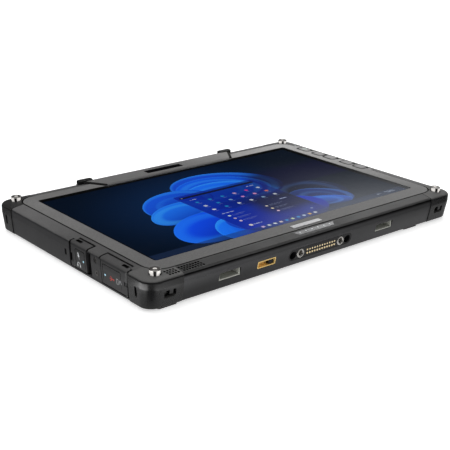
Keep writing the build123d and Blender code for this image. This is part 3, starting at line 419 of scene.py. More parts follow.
def painted_turned_reflections(tree, base, broad, painted_glint):
    """Painted reflections on a turned part: bright flanks, a dark middle band and a soft top.

    Returns the base colour and the emission pair that paint them.
    """
    normal_x, normal_y, normal_z = tree.facing
    # directions towards the camera and across the view
    face = 0.0 - (normal_x * 0.643 + normal_y * 0.766)
    side = normal_x * 0.766 - normal_y * 0.643
    flank = (abs(side - 0.05).smooth(0.16, 0.40) * abs(side).smooth(0.98, 0.84)
             * face.smooth(-0.2, 0.2))
    upright = abs(normal_z).smooth(0.75, 0.45)
    cap = normal_z.smooth(0.70, 0.95)
    band = abs(side - 0.05).smooth(0.34, 0.14) * upright
    base = tree.tint(base, (1.0 - cap * 0.52) * (1.0 - band * 0.88))
    light = (flank * upright * 1.15 + cap * (0.02 + 0.14 * broad)) * painted_glint
    return base, ((1.0, 0.965, 0.93), light * tree.nook(1.2, closed=0.25, opened=0.7))


def metal(name, colour, rough, brush=None, depth=0.006, vary=0.1, wear=0.3, edge=0.15,
          tarnish=None, metallic=1.0, turned=0.0):
    """Brushed or turned metal with bright edges.

    brush stretches the marks, tarnish colours patches; turned adds rings around the
    four corner studs and painted reflections of that strength.
    """
    _, tree = material(name)
    normal, worn = tree.edges(edge)
    broad = tree.noise(6.0, 3.0, 0.6)
    fine = tree.noise(0.25, 3.0, 0.6, stretch=brush)
    height = fine
    if turned:
        # distance from the stud centre of each corner
        radius = hypot(abs(tree.x) - 144.6, abs(tree.y) - 93.5)
        height = height * 0.5 + (radius * 40.0).sin() * 0.25
    base = tree.tint(colour, 1.0 + (broad - 0.5) * (2.0 * vary) + (fine - 0.5) * vary)
    if tarnish:
        base = tree.mix(broad.smooth(0.50, 0.75) * 0.6, base, tarnish)
    base = tree.mix(worn * wear, base, scaled(colour, 1.25, 0.05))
    gloss = rough + (broad - 0.5) * 0.16 + (fine - 0.5) * 0.14
    glow = None
    if turned:
        base, glow = painted_turned_reflections(tree, base, broad, turned)
    tree.finish(tree.principled(base, gloss.clamp(), tree.bump(height, depth, normal),
                                metallic=metallic, glow=glow))


def glossy(name, colour, rough, smudge=0.12, coat=0.5, spec=0.5):
    """Smooth glossy cover with orange peel, smudges, dust specks and a softened rim."""
    _, tree = material(name)
    normal, worn = tree.edges(0.2)
    broad = tree.noise(9.0, 4.0, 0.6)
    fine = tree.noise(0.3)
    dust = tree.noise(0.5, 3.0, 0.7).smooth(0.72, 0.80)
    base = tree.tint(colour, 1.0 + (broad - 0.5) * 0.25)
    base = tree.mix(dust * 0.25, base, (0.35, 0.35, 0.35))
    base = tree.mix(worn * 0.25, base, scaled(colour, 2.0, 0.08))
    gloss = rough + broad.smooth(0.45, 0.75) * smudge + dust * 0.3 + (fine - 0.5) * 0.04
    tree.finish(tree.principled(base, gloss.clamp(), tree.bump(fine, 0.002, normal),
                                spec=spec, coat=coat, coat_rough=0.06))


def cover_glass():
    """Toughened glass: clear with a Fresnel reflection, faint smudges and dust."""
    _, tree = material("cover_glass")
    broad = tree.noise(28.0, 4.0, 0.6)
    swipe = tree.noise(16.0, 3.0, 0.55, stretch=(0.35, 1.0, 1.0))
    dust = tree.noise(0.7, 3.0, 0.7).smooth(0.74, 0.80)
    normal = tree.bump(tree.noise(12.0, 1.0, 0.4), 0.004)
    fresnel = tree.node("ShaderNodeFresnel", {"IOR": 1.42, "Normal": normal})
    geometry = tree.node("ShaderNodeNewGeometry")
    outer = 1.0 - Signal(tree, geometry.outputs["Backfacing"])
    reflection = tree.node("ShaderNodeBsdfGlossy", {
        "Color": (0.92, 0.95, 1.0), "Normal": normal,
        "Roughness": (0.03 + swipe.smooth(0.45, 0.8) * 0.05 + dust * 0.2).clamp()})
    dirt = dust * 0.10 + broad.smooth(0.5, 0.9) * 0.05
    clear = tree.node("ShaderNodeBsdfTransparent", {
        "Color": tree.mix(dirt, (0.97, 0.985, 0.985), (0.80, 0.82, 0.82))})
    haze = tree.node("ShaderNodeBsdfDiffuse", {"Color": (0.5, 0.52, 0.55)})
    shine = (Signal(tree, fresnel.outputs[0]) * 1.9).min(0.9) * outer
    glass = tree.mix_shader(shine, clear.outputs[0], reflection.outputs[0])
    tree.finish(tree.mix_shader((dust * 0.03 + 0.0008) * outer, glass, haze.outputs[0]))


# ---------------------------------------------------------------------------
# display picture: layered blue leaves, a panel of tiles, a strip of dots
# ---------------------------------------------------------------------------
DEEP_BLUE = (0.003, 0.020, 0.34)
BRIGHT_RIM = (0.030, 0.300, 1.0)
# centre, half axes, turn in degrees, fold count, fold phase, bend, sideways shading,
# fold strength, (dark, middle, rim colour)
RIGHT_LEAVES = (
    ((64.0, -32.0), (29.0, 29.0), -24.0, 9.0, 0.6, 0.0, -0.30, 0.55,
     ((0.002, 0.003, 0.012), (0.007, 0.014, 0.050), (0.030, 0.070, 0.20))),
    ((60.0, -44.0), (27.0, 20.0), -38.0, 12.0, 2.2, 0.0, 0.0, 0.55,
     ((0.003, 0.006, 0.030), (0.010, 0.036, 0.20), (0.05, 0.16, 0.46))),
    ((54.0, -54.0), (24.0, 12.0), -20.0, 10.0, 1.2, 0.0, 0.0, 0.5,
     ((0.004, 0.020, 0.10), (0.014, 0.120, 0.60), (0.06, 0.26, 0.80))),
)
ARCH_LEAVES = (
    ((15.0, 24.0), (49.0, 36.0), -22.0, 15.0, 0.0, 0.06, 0.30, 0.40,
     ((0.002, 0.010, 0.10), (0.010, 0.085, 0.72), BRIGHT_RIM)),
    ((8.0, 21.0), (42.0, 30.0), -14.0, 17.0, 1.7, 0.10, 0.25, 0.45,
     (DEEP_BLUE, (0.009, 0.120, 0.88), BRIGHT_RIM)),
    ((2.0, 14.0), (38.0, 24.0), 2.0, 14.0, 0.4, 0.10, 0.10, 0.35,
     ((0.004, 0.040, 0.60), (0.012, 0.175, 1.0), (0.05, 0.42, 1.0))),
)
LEFT_LEAVES = (
    ((-46.0, 12.0), (37.0, 25.0), 24.0, 12.0, 2.6, 0.10, 0.0, 0.40,
     (DEEP_BLUE, (0.010, 0.105, 0.78), BRIGHT_RIM)),
    ((-54.0, -8.0), (35.0, 20.0), 14.0, 10.0, 0.9, 0.12, 0.0, 0.40,
     ((0.004, 0.045, 0.50), (0.014, 0.190, 0.95), (0.05, 0.42, 1.0))),
    ((-52.0, -45.0), (43.0, 27.0), 14.0, 6.0, 3.4, 0.14, 0.20, 0.5,
     (DEEP_BLUE, (0.005, 0.080, 0.92), (0.02, 0.24, 1.0))),
    ((-44.0, -60.0), (24.0, 17.0), 60.0, 7.0, 0.2, 0.0, 0.0, 0.4,
     ((0.004, 0.040, 0.55), (0.012, 0.190, 1.0), (0.04, 0.40, 1.0))),
    ((4.0, -52.0), (50.0, 30.0), 4.0, 9.0, 1.9, 0.0, 0.0, 0.40,
     ((0.003, 0.012, 0.20), (0.004, 0.035, 0.55), (0.02, 0.13, 0.85))),
)
# centre x, centre y, half width of the short text-like bars
HEADINGS = ((-31.0, 11.2, 3.4), (29.5, 11.2, 4.2), (-28.5, -29.4, 6.0), (30.0, -29.4, 4.4),
            (-25.5, -61.5, 4.2))
READOUT = ((114.0, -68.9, 5.6), (115.0, -70.9, 4.6), (101.0, -69.9, 2.4))


class Canvas:
    """Colour built up in layers; the last layer painted is on top."""

    def __init__(self, tree, colour):
        self.tree, self.colour = tree, colour
        self.x, self.y = tree.x, tree.y

    def paint(self, mask, colour):
        self.colour = self.tree.mix(mask, self.colour, colour)

    def box(self, x, y, half_x, half_y, radius):
        return rounded_box(self.x - x, self.y - y, half_x, half_y, radius).smooth(0.2, -0.2)

    def window(self, x, half_x, y, half_y, soft_y=0.4):
        """Mask of a rectangle; x and y are added to the position, so they are minus its centre."""
        across = self.x if x is None else self.x + x
        return ((abs(across) - half_x).smooth(0.4, -0.4)
                * (abs(self.y + y) - half_y).smooth(soft_y, -soft_y))

    def random(self, *seeds):
        """Random value and colour for each combination of seeds."""
        seed = self.tree.node("ShaderNodeCombineXYZ", dict(enumerate(seeds)))
        node = self.tree.node("ShaderNodeTexWhiteNoise", {"Vector": seed.outputs[0]},
                              noise_dimensions="3D")
        return Signal(self.tree, node.outputs["Value"]), node.outputs["Color"]

    def dashes(self, size, gap, solid):
        """Noise that breaks a bar up so that it reads as text."""
        return self.tree.noise(size, 0.0).smooth(gap, solid)


def paint_leaf(canvas, centre, half_axes, turn, folds, phase, bend, side, fold, colours):
    """Leaf with a soft inside and a few fine folds."""
    tree = canvas.tree
    dark, middle, rim = colours
    cosine, sine = math.cos(math.radians(turn)), math.sin(math.radians(turn))
    from_x, from_y = canvas.x - centre[0], canvas.y - centre[1]
    along = (from_x * cosine + from_y * sine) / half_axes[0]
    across = (from_y * cosine - from_x * sine) / half_axes[1]
    if bend:
        across = across + along * along * bend
    radius = hypot(along, across)
    shade = (0.52 + across * 0.42 - along * side).clamp()
    fill = tree.mix(shade.smooth(0.0, 1.0), dark, middle)
    wave = (radius * folds + along * 1.7 + phase).sin() * 0.5 + 0.5
    ridge = wave.smooth(0.30, 1.0) * radius.smooth(0.20, 0.85)
    fill = tree.mix(ridge * fold, fill, rim)
    crest = radius.smooth(0.95, 1.0) * (0.15 + across * 0.6).clamp()
    fill = tree.mix(crest * 0.7, fill, rim)
    foot = across.smooth(-0.30, -1.0)
    fill = tree.mix(foot * 0.6, fill, scaled(dark, 0.3))
    canvas.paint(radius.smooth(1.010, 0.990), fill)


def paint_backdrop(canvas):
    """Dark navy with a lighter glow, the leaves, and the band along the near edge."""
    x, y = canvas.x, canvas.y
    glow = hypot((x + 12.0) / 105.0, (y + 2.0) / 88.0).smooth(1.30, 0.25)
    canvas.paint(glow, (0.004, 0.020, 0.070))
    canvas.paint(x.smooth(20.0, 125.0) * 0.65, (0.006, 0.012, 0.024))
    for leaf in RIGHT_LEAVES + ARCH_LEAVES:
        paint_leaf(canvas, *leaf)
    arch_shadow = x.smooth(33.0, 52.0) * y.smooth(46.0, 24.0) * y.smooth(-10.0, -4.0)
    canvas.paint(arch_shadow * 0.85, (0.005, 0.006, 0.034))
    for leaf in LEFT_LEAVES:
        paint_leaf(canvas, *leaf)
    canvas.paint(y.smooth(-66.2, -66.6) * 0.55, (0.014, 0.028, 0.075))


def paint_panel(canvas):
    """Translucent rounded panel with a rim and a search field."""
    x, y, tree = canvas.x, canvas.y, canvas.tree
    outline = rounded_box(x - 0.2, y + 22.0, half_x=42.4, half_y=46.2, radius=2.6)
    soft = tree.mix(0.72, canvas.colour, (0.003, 0.014, 0.170))
    soft = tree.mix(x.smooth(26.0, -44.0) * 0.75, soft, (0.005, 0.026, 0.42))
    lower = x.smooth(-12.0, 10.0) * y.smooth(-12.0, -24.0) * y.smooth(-62.0, -44.0)
    soft = tree.mix(lower * 0.85, soft, (0.007, 0.009, 0.030))
    canvas.paint(outline.smooth(0.25, -0.25), soft)
    canvas.paint(abs(outline).smooth(0.45, 0.1) * 0.35, (0.03, 0.08, 0.30))
    canvas.paint(canvas.box(0.0, 18.4, 39.2, 1.9, 1.5), (0.006, 0.010, 0.045))
    canvas.paint(canvas.box(-36.8, 18.4, 0.8, 0.8, 0.8), (0.25, 0.30, 0.45))


def paint_tiles(canvas, window, first, pitch, count, half, radius, seed, strength, palette,
                captions=False):
    """Grid of two-tone tiles inside a window; first, pitch and count are (x, y) pairs."""
    tree, behind = canvas.tree, canvas.colour
    column = ((canvas.x - first[0]) / pitch[0]).index(count[0] - 1.0)
    row = ((canvas.y - first[1]) / pitch[1]).index(count[1] - 1.0)
    tile_x = canvas.x - (column * pitch[0] + first[0])
    tile_y = canvas.y - (row * pitch[1] + first[1])
    pick, colour = canvas.random(column, row, seed)
    mask = rounded_box(tile_x, tile_y, half, half, radius).smooth(0.22, -0.22)
    hue = tree.mix(pick.smooth(0.30, 0.42), *palette)
    hue = tree.mix(pick.smooth(0.62, 0.70), hue, colour)
    hue = tree.mix((tile_x + tile_y).smooth(-0.3, 0.3) * 0.55, hue, tree.tint(hue, 0.45))
    canvas.paint(mask * strength, hue)
    if captions:
        half_width = 2.6 * (0.75 + 0.25 * pick)
        line = ((abs(tile_y - -3.6) - 0.28).smooth(0.15, -0.15)
                * (abs(tile_x) - half_width).smooth(0.15, -0.15))
        canvas.paint(line * canvas.dashes(1.1, 0.36, 0.52) * 0.45, (0.30, 0.36, 0.60))
    canvas.colour = tree.mix(window, behind, canvas.colour)


def paint_list(canvas, dot_x):
    """Column of three round dots, each with a two-line caption."""
    first_y, pitch = 49.8, 6.8
    row = ((canvas.y + first_y) / pitch).index(2.0)
    row_y = canvas.y - (row * pitch - first_y)
    _, colour = canvas.random(row, row * 0.0 + dot_x, 9.0)
    shown = (abs(canvas.y + 43.0) - 10.0).smooth(0.4, -0.4)
    dot = hypot(canvas.x - dot_x, row_y).smooth(1.45, 1.15) * shown
    canvas.paint(dot * 0.95, canvas.tree.mix(0.45, colour, (0.75, 0.62, 0.55)))
    caption_x = canvas.x - (dot_x + 10.3)
    # line height above the dot, half width, strength
    for offset, half_width, strength in ((0.85, 7.0, 0.38), (-1.0, 5.2, 0.22)):
        line = ((abs(row_y - offset) - 0.38).smooth(0.12, -0.12)
                * (abs(caption_x + (7.4 - half_width)) - half_width).smooth(0.2, -0.2) * shown)
        canvas.paint(line * canvas.dashes(1.0, 0.34, 0.50) * strength, (0.34, 0.40, 0.62))


def display_picture():
    _, tree = material("display_picture")
    broad = tree.noise(60.0)
    canvas = Canvas(tree, (0.0008, 0.0048, 0.0150))
    paint_backdrop(canvas)
    paint_panel(canvas)
    paint_tiles(canvas, canvas.window(None, 37.0, 7.0, 14.6),
                first=(-32.2, -17.3), pitch=(12.95, 10.65), count=(6.0, 3.0), half=1.55,
                radius=0.9, seed=3.0, strength=0.85,
                palette=((0.02, 0.28, 0.62), (0.75, 0.78, 0.85)), captions=True)
    for dot_x in (-32.5, 6.2):
        paint_list(canvas, dot_x)
    dashes = canvas.dashes(1.2, 0.34, 0.50)
    for x, y, half_width in HEADINGS:
        canvas.paint(canvas.box(x, y, half_width, 0.65, 0.3) * dashes * 0.8, (0.42, 0.48, 0.72))
    # two round marks at the near end of the panel
    canvas.paint(canvas.box(-32.5, -61.4, 1.7, 1.7, 1.7), (0.72, 0.66, 0.62))
    canvas.paint(canvas.box(31.5, -61.2, 1.1, 1.1, 1.1) * 0.7, (0.34, 0.40, 0.60))
    paint_tiles(canvas, canvas.window(0.6, 30.4, 69.9, 2.6, soft_y=0.3),
                first=(-27.9, -69.9), pitch=(6.07, 6.0), count=(10.0, 1.0), half=1.35,
                radius=0.5, seed=21.0, strength=0.90,
                palette=((0.03, 0.33, 0.80), (0.80, 0.82, 0.86)))
    for x, y, half_width in READOUT:
        canvas.paint(canvas.box(x, y, half_width, 0.5, 0.25) * dashes * 0.75,
                     (0.40, 0.46, 0.58))

    # unlit black margin around the active area, and a fine lattice inside it
    margin = (abs(canvas.x) - 130.2).max(abs(canvas.y - 1.3) - 76.5)
    lattice = 1.0 + ((canvas.x * 24.5).sin() * (canvas.y * 24.5).sin()) * 0.05
    picture = tree.tint(canvas.colour, lattice * (0.94 + 0.12 * broad))
    picture = tree.mix(margin.smooth(0.15, -0.15), (0.0008, 0.0008, 0.001), picture)
    top_face = tree.facing[2].smooth(0.5, 0.9)
    grain = tree.noise(0.4)
    tree.finish(tree.principled(
        tree.mix(grain * 0.4, (0.0010, 0.0010, 0.0013), (0.0024, 0.0024, 0.0030)),
        (0.35 + (grain - 0.5) * 0.2).clamp(), tree.bump(grain, 0.002), spec=0.0,
        glow=(picture, top_face * 1.18)))


# ---------------------------------------------------------------------------
# finishes
# ---------------------------------------------------------------------------
ALONG_X, ALONG_Y = (0.05, 1.0, 1.0), (1.0, 0.08, 1.0)   # directions of brushing
COARSE_ALONG_X = (0.08, 1.0, 1.0)
DARK_WEAR = (0.03, 0.03, 0.03)

# the top colours are painted light from above; the sweep, far and corner strengths paint light
# towards +X +Y, towards +Y and at the -X +Y corner; the shading lists paint light and shade
moulded("housing", (0.025, 0.025, 0.027), rough=0.46, grain=0.55, depth=0.035, vary=0.16,
        edge=0.35, scuff=0.06, top=(0.079, 0.078, 0.078), painted_light_sweep=0.5, corner_painted_light=0.65,
        shading=(rim_seam, pocket_walls, near_side_painted_light, near_rim_painted_shade, grille_holes))
moulded("bezel", (0.124, 0.1225, 0.1215), rough=0.50, grain=0.80, depth=0.045, vary=0.18,
        wear=0.30, edge=0.25, scuff=0.04, painted_light_sweep=1.45, far_painted_light=0.33, shading=(bezel_seams,))
moulded("camera_boss", (0.134, 0.132, 0.131), rough=0.52, grain=0.80, depth=0.045, vary=0.16,
        wear=0.30, edge=0.35, painted_light_sweep=1.2, shading=(wedge_ends,))
moulded("bumper", (0.0065, 0.0065, 0.0070), rough=0.27, grain=0.9, depth=0.008, vary=0.12,
        wear=0.20, edge=0.45, wear_colour=DARK_WEAR, top=(0.096, 0.095, 0.093),
        top_rough=0.60, painted_light_sweep=0.4, corner_painted_light=-0.6,
        shading=(rim_seam, far_left_painted_shade, grille_holes))
moulded("lug_caps", (0.006, 0.006, 0.006), rough=0.42, grain=0.7, depth=0.012, vary=0.15,
        wear=0.2, edge=0.4, wear_colour=DARK_WEAR)
moulded("rubber", (0.008, 0.008, 0.008), rough=0.72, grain=0.35, vary=0.2, wear=0.25,
        edge=0.2, wear_colour=(0.04, 0.04, 0.04))
metal("polished_steel", (0.62, 0.60, 0.57), rough=0.16, depth=0.004, wear=0.5, turned=0.62)
metal("plain_steel", (0.42, 0.41, 0.40), rough=0.34, brush=COARSE_ALONG_X,
      tarnish=(0.20, 0.19, 0.17))
moulded("strike_plate", (0.46, 0.47, 0.42), rough=0.34, nook=0.8, grain=0.35, depth=0.01,
        vary=0.18, wear=0.4, edge=0.2, wear_colour=(0.5, 0.5, 0.46))
glossy("dark_gloss", (0.003, 0.003, 0.004), rough=0.05, smudge=0.04, coat=0.0, spec=0.05)
metal("sheet_metal", (0.45, 0.45, 0.46), rough=0.42, brush=ALONG_X)
glossy("light_guide", (0.75, 0.77, 0.80), rough=0.30, coat=0.2)
moulded("button", (0.148, 0.146, 0.145), rough=0.48, grain=0.60, depth=0.025, vary=0.12,
        wear=0.30, painted_light_sweep=1.4)
moulded("surround", (0.004, 0.004, 0.004), rough=0.62, grain=0.35, depth=0.02, vary=0.1,
        wear=0.05)
moulded("board", (0.010, 0.075, 0.035), rough=0.38, grain=0.8, depth=0.02, vary=0.25,
        wear=0.2, coat=0.3)
glossy("sensor_lens", (0.72, 0.78, 0.78), rough=0.14, coat=0.8)
glossy("indicator_strip", (0.055, 0.055, 0.058), rough=0.30, smudge=0.15, coat=0.15)
metal("badge", (0.74, 0.74, 0.75), rough=0.40, brush=ALONG_X, depth=0.004)
moulded("black_plastic", (0.008, 0.008, 0.009), rough=0.50, grain=0.4, depth=0.02, vary=0.15,
        wear=0.25, edge=0.2)
moulded("port_cover", (0.022, 0.022, 0.023), rough=0.44, depth=0.025, vary=0.16, wear=0.40,
        top=(0.070, 0.069, 0.069), shading=(flange_painted_shade,))
metal("black_screw", (0.150, 0.146, 0.142), rough=0.38, wear=0.8, tarnish=(0.02, 0.02, 0.02))
metal("connector_shell", (0.52, 0.52, 0.51), rough=0.28, brush=ALONG_Y)
metal("gold", (0.90, 0.62, 0.22), rough=0.22, depth=0.005, vary=0.14, metallic=0.35)
metal("contact_pin", (0.92, 0.74, 0.44), rough=0.24, depth=0.003, vary=0.12, metallic=0.35)
metal("copper", (0.62, 0.28, 0.15), rough=0.34, brush=COARSE_ALONG_X,
      tarnish=(0.30, 0.14, 0.08))
moulded("battery", (0.024, 0.024, 0.027), rough=0.55, grain=0.6, depth=0.04, edge=0.35,
        scuff=0.08)
metal("brass", (0.66, 0.46, 0.18), rough=0.32, brush=(1.0, 1.0, 0.1),
      tarnish=(0.30, 0.20, 0.09))
metal("bush_steel", (0.62, 0.60, 0.57), rough=0.20, depth=0.004, wear=0.6, metallic=0.85)
cover_glass()
display_picture()

# parts that wear each finish
PARTS = {
    "housing": "rear_housing front_housing",
    "bezel": "display_bezel",
    "camera_boss": "camera_boss_cover",
    "bumper": "bumper_near_left bumper_near_right bumper_far_left bumper_far_right tether_bars",
    "lug_caps": "strap_lug_caps",
    "rubber": "glass_gasket port_seal_a port_seal_b rubber_feet",
    "polished_steel": "corner_studs",
    "plain_steel": "cover_hinge_pins",
    "strike_plate": "dock_latch_strikes",
    "dark_gloss": "camera_window front_camera rear_camera",
    "sheet_metal": "display_bracket",
    "light_guide": "backlight_unit",
    "button": "power_button function_button_1 function_button_2 volume_up_button "
              "volume_down_button",
    "surround": "button_surrounds",
    "board": "button_board io_board mainboard ssd_module",
    "sensor_lens": "light_sensor_lens",
    "indicator_strip": "indicator_lightpipe",
    "badge": "blank_badge",
    "black_plastic": "speaker_module port_frame audio_jack power_jack dock_connector_body "
                     "rf_receptacle_tongue battery_latch_left battery_latch_right",
    "port_cover": "port_divider port_cover_a port_cover_b",
    "black_screw": "port_divider_screws housing_screws",
    "connector_shell": "usb_a_port usb_c_port battery_contacts",
    "gold": "rf_receptacle_shell",
    "contact_pin": "dock_pins",
    "copper": "heat_spreader",
    "battery": "battery_pack_left battery_pack_right",
    "brass": "strap_inserts",
    "bush_steel": "dock_guide_bushes",
    "cover_glass": "cover_glass",
    "display_picture": "lcd_panel",
}
FINISH_OF = {part: finish for finish, parts in PARTS.items() for part in parts.split()}

for name, obj in NODES.items():
    look = FINISHES[FINISH_OF[name]]
    slots = obj.data.materials
    if not slots:
        slots.append(look)
    else:
        for i in range(len(slots)):
            slots[i] = look


# ---------------------------------------------------------------------------
# raised prints and light pips that sit on the casing parts
# ---------------------------------------------------------------------------
PRINT_PROUD = 0.05
PRINT_SUNK = 0.12


def ink(name, colour, rough=0.45, glow=0.0):
    """Pad-printed ink or a small lit pip: mottled, slightly worn."""
    look, tree = material(name)
    fine = tree.noise(0.3, 3.0, 0.6)
    broad = tree.noise(2.0)
    base = tree.tint(colour, 0.85 + 0.3 * broad)
    base = tree.mix(fine.smooth(0.62, 0.75) * 0.35, base, scaled(colour, 0.35))
    tree.finish(tree.principled(base, (rough + (fine - 0.5) * 0.3).clamp(),
                                tree.bump(fine, 0.004),
                                glow=(colour, glow * (0.8 + 0.4 * broad)) if glow else None))
    return look


INK_GREY = ink("ink_grey", (0.36, 0.37, 0.38))
INK_WHITE = ink("ink_white", (0.72, 0.74, 0.76))
# painted light: the red, cyan and power prints glow faintly though nothing lights them; the pip is
# a lit indicator
INK_RED = ink("ink_red", (0.55, 0.035, 0.02), glow=0.10)
INK_CYAN = ink("ink_cyan", (0.35, 0.62, 0.75), glow=0.35)
PIP = ink("pip", (0.60, 0.64, 0.66), rough=0.3, glow=0.12)
INK_POWER = ink("ink_power", (0.55, 0.68, 0.60), glow=0.25)


@cache
def surface_tree(node):
    mesh = NODES[node].data
    return BVHTree.FromPolygons([vertex.co[:] for vertex in mesh.vertices],
                                [face.vertices[:] for face in mesh.polygons])


def surface_point(node, side, first, second):
    """Point on a part's outer surface (None on a miss) and the direction looked in.

    Side "x-" looks along +X at (y, z); side "z+" looks down at (x, y).
    """
    if side == "x-":
        origin, ray = Vector((-0.2, first * MM, second * MM)), Vector((1, 0, 0))
    else:
        origin, ray = Vector((first * MM, second * MM, 0.1)), Vector((0, 0, -1))
    return surface_tree(node).ray_cast(origin, ray)[0], ray


def add_plate(bm, node, side, outline):
    """Closed thin plate on the surface; left out if any corner misses the part."""
    tops, bottoms = [], []
    for first, second in outline:
        point, ray = surface_point(node, side, first, second)
        if point is None:
            return
        tops.append(point - ray * PRINT_PROUD * MM)
        bottoms.append(point + ray * PRINT_SUNK * MM)
    tops = [bm.verts.new(point) for point in tops]
    bottoms = [bm.verts.new(point) for point in bottoms]
    bm.faces.new(tops)
    bm.faces.new(bottoms[::-1])
    for i in range(len(tops)):
        j = (i + 1) % len(tops)
        bm.faces.new((tops[j], tops[i], bottoms[i], bottoms[j]))


def new_object(name, bm):
    mesh = bpy.data.meshes.new(name)
    bm.to_mesh(mesh)
    bm.free()
    # a print whose plates all missed the part has nothing to show
    if not mesh.vertices:
        return None
    obj = bpy.data.objects.new(name, mesh)
    scene.collection.objects.link(obj)
    return obj


def print_shape(name, node, body, side, outlines, look):
    """Thin raised print of several outlines, riding on a body."""
    bm = bmesh.new()
    for outline in outlines:
        add_plate(bm, node, side, outline)
    bmesh.ops.recalc_face_normals(bm, faces=bm.faces)
    obj = new_object(name, bm)
    if obj:
        obj.data.materials.append(look)
        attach(obj, body)


def disc(x, y, radius, count=18):
    turns = [2 * math.pi * i / count for i in range(count)]
    return [(x + radius * math.cos(turn), y + radius * math.sin(turn)) for turn in turns]


def arc(x, y, radius, width, start, end, count=14):
    """Closed band along an arc, angles in degrees."""
    outer, inner = [], []
    for i in range(count + 1):
        turn = math.radians(start + (end - start) * i / count)
        for side, reach in ((outer, radius + width / 2), (inner, radius - width / 2)):
            side.append((x + reach * math.cos(turn), y + reach * math.sin(turn)))
    return outer + inner[::-1]


def stroke(start, end, width):
    """Straight bar from start to end."""
    run, rise = end[0] - start[0], end[1] - start[1]
    length = math.hypot(run, rise)
    side_x, side_y = -rise / length * width / 2, run / length * width / 2
    return [(start[0] + side_x, start[1] + side_y), (start[0] - side_x, start[1] - side_y),
            (end[0] - side_x, end[1] - side_y), (end[0] + side_x, end[1] + side_y)]


# port cover symbols, in (y, z)
BOLT = [(-18.7, 13.8), (-17.6, 16.8), (-16.6, 16.8), (-17.2, 14.9), (-16.4, 14.9),
        (-18.3, 11.7), (-17.7, 13.8)]
HEADSET_Y, HEADSET_RADIUS = -17.0, 1.75
HEADSET = [arc(HEADSET_Y, 7.4, HEADSET_RADIUS, width=0.42, start=0, end=180)] + [
    stroke((ear, 7.5), (ear, 5.6), 0.95)
    for ear in (HEADSET_Y - HEADSET_RADIUS, HEADSET_Y + HEADSET_RADIUS)]
TRIDENT = [stroke((-61.4, 10.8), (-56.8, 10.8), 0.42), stroke((-60.2, 10.8), (-59.0, 12.3), 0.38),
           stroke((-59.0, 12.3), (-57.7, 12.3), 0.38), stroke((-59.6, 10.8), (-58.4, 9.4), 0.38),
           stroke((-58.4, 9.4), (-57.4, 9.4), 0.38), disc(-61.7, 10.8, 0.62, count=12)]
PLUGS = [stroke((-65.2, 13.2), (-65.2, 9.2), 0.4), stroke((-67.2, 13.2), (-67.2, 9.2), 0.4),
         stroke((-65.2, 13.0), (-67.2, 13.0), 0.4), stroke((-65.2, 9.4), (-67.2, 9.4), 0.4),
         arc(-69.8, 11.2, 1.3, width=0.42, start=-60, end=240),
         stroke((-69.8, 11.2), (-69.8, 13.5), 0.42)]

# name, cover letter, outlines, ink
for name, letter, outlines, look in (
        ("bolt", "a", [BOLT], INK_WHITE),
        ("headset", "a", HEADSET, INK_WHITE),
        ("dot_a", "a", [disc(-23.6, 11.6, 0.75)], INK_CYAN),
        ("dot_b", "b", [disc(-51.3, 11.2, 0.75)], INK_CYAN),
        ("trident", "b", TRIDENT, INK_RED),
        ("plugs", "b", PLUGS, INK_GREY)):
    print_shape("print_" + name, "port_cover_" + letter, "door_" + letter, "x-", outlines, look)

# indicator strip: six small pips, each with a short mark on its near side
PIP_XS = [-15.5 + 6.2 * i for i in range(6)]
for name, outlines, look in (
        ("indicator_pips", [disc(x, -96.3, 0.5, count=12) for x in PIP_XS], PIP),
        ("indicator_marks", [stroke((x - 1.0, -97.9), (x + 1.0, -97.9), 0.35) for x in PIP_XS],
         INK_GREY)):
    print_shape(name, "indicator_lightpipe", "casing", "z+", outlines, look)


# key cap symbols, drawn around the middle of the cap
KEY_STROKE = 0.45


def power_symbol(x, y):
    return [arc(x, y, 1.7, width=0.5, start=120, end=420), stroke((x, y + 0.3), (x, y + 2.6), 0.5)]


def one_line(x, y):
    return [stroke((x, y - 1.6), (x, y + 1.6), KEY_STROKE)]


def two_lines(x, y):
    return one_line(x - 0.6, y) + one_line(x + 0.6, y)


def minus_symbol(x, y):
    return [stroke((x - 1.3, y), (x + 1.3, y), KEY_STROKE)]


def plus_symbol(x, y):
    return minus_symbol(x, y) + [stroke((x, y + 0.25), (x, y + 1.3), KEY_STROKE),
                                 stroke((x, y - 1.3), (x, y - 0.25), KEY_STROKE)]


for name, node, body, symbol, look in (
        ("power", "power_button", "cap_power", power_symbol, INK_POWER),
        ("key_1", "function_button_1", "cap_function_1", one_line, INK_GREY),
        ("key_2", "function_button_2", "cap_function_2", two_lines, INK_GREY),
        ("plus", "volume_up_button", "cap_volume_up", plus_symbol, INK_GREY),
        ("minus", "volume_down_button", "cap_volume_down", minus_symbol, INK_GREY)):
    low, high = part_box(node)
    middle = (low.x + high.x) / 2 / MM, (low.y + high.y) / 2 / MM
    print_shape("print_" + name, node, body, "z+", symbol(*middle), look)


# ---------------------------------------------------------------------------
# floor
# ---------------------------------------------------------------------------
FLOOR_LIFT = 0.55               # glow that keeps the sheet near white
FLOOR_Z = -0.0002
FLOOR_RADII = (0.4, 0.9, 1.8, 3.5, 7.0, 14.0)
FLOOR_SIDES = 48
# bright patches of the floor in reflections: centre x, y, half size x, y, power
CARDS = (
    (-184.0, -61.0, 8.0, 7.0, 2.6), (-191.0, -75.0, 12.0, 15.0, 4.8),
    (-191.0, -99.0, 12.0, 16.0, 5.2), (-147.0, -132.0, 18.0, 9.0, 2.6),
    (-124.0, -124.0, 12.0, 8.0, 1.4), (-108.0, -142.0, 30.0, 16.0, 0.35),
)
DARK_GAP = (-168.0, -115.0, 17.0, 15.0, 0.9)


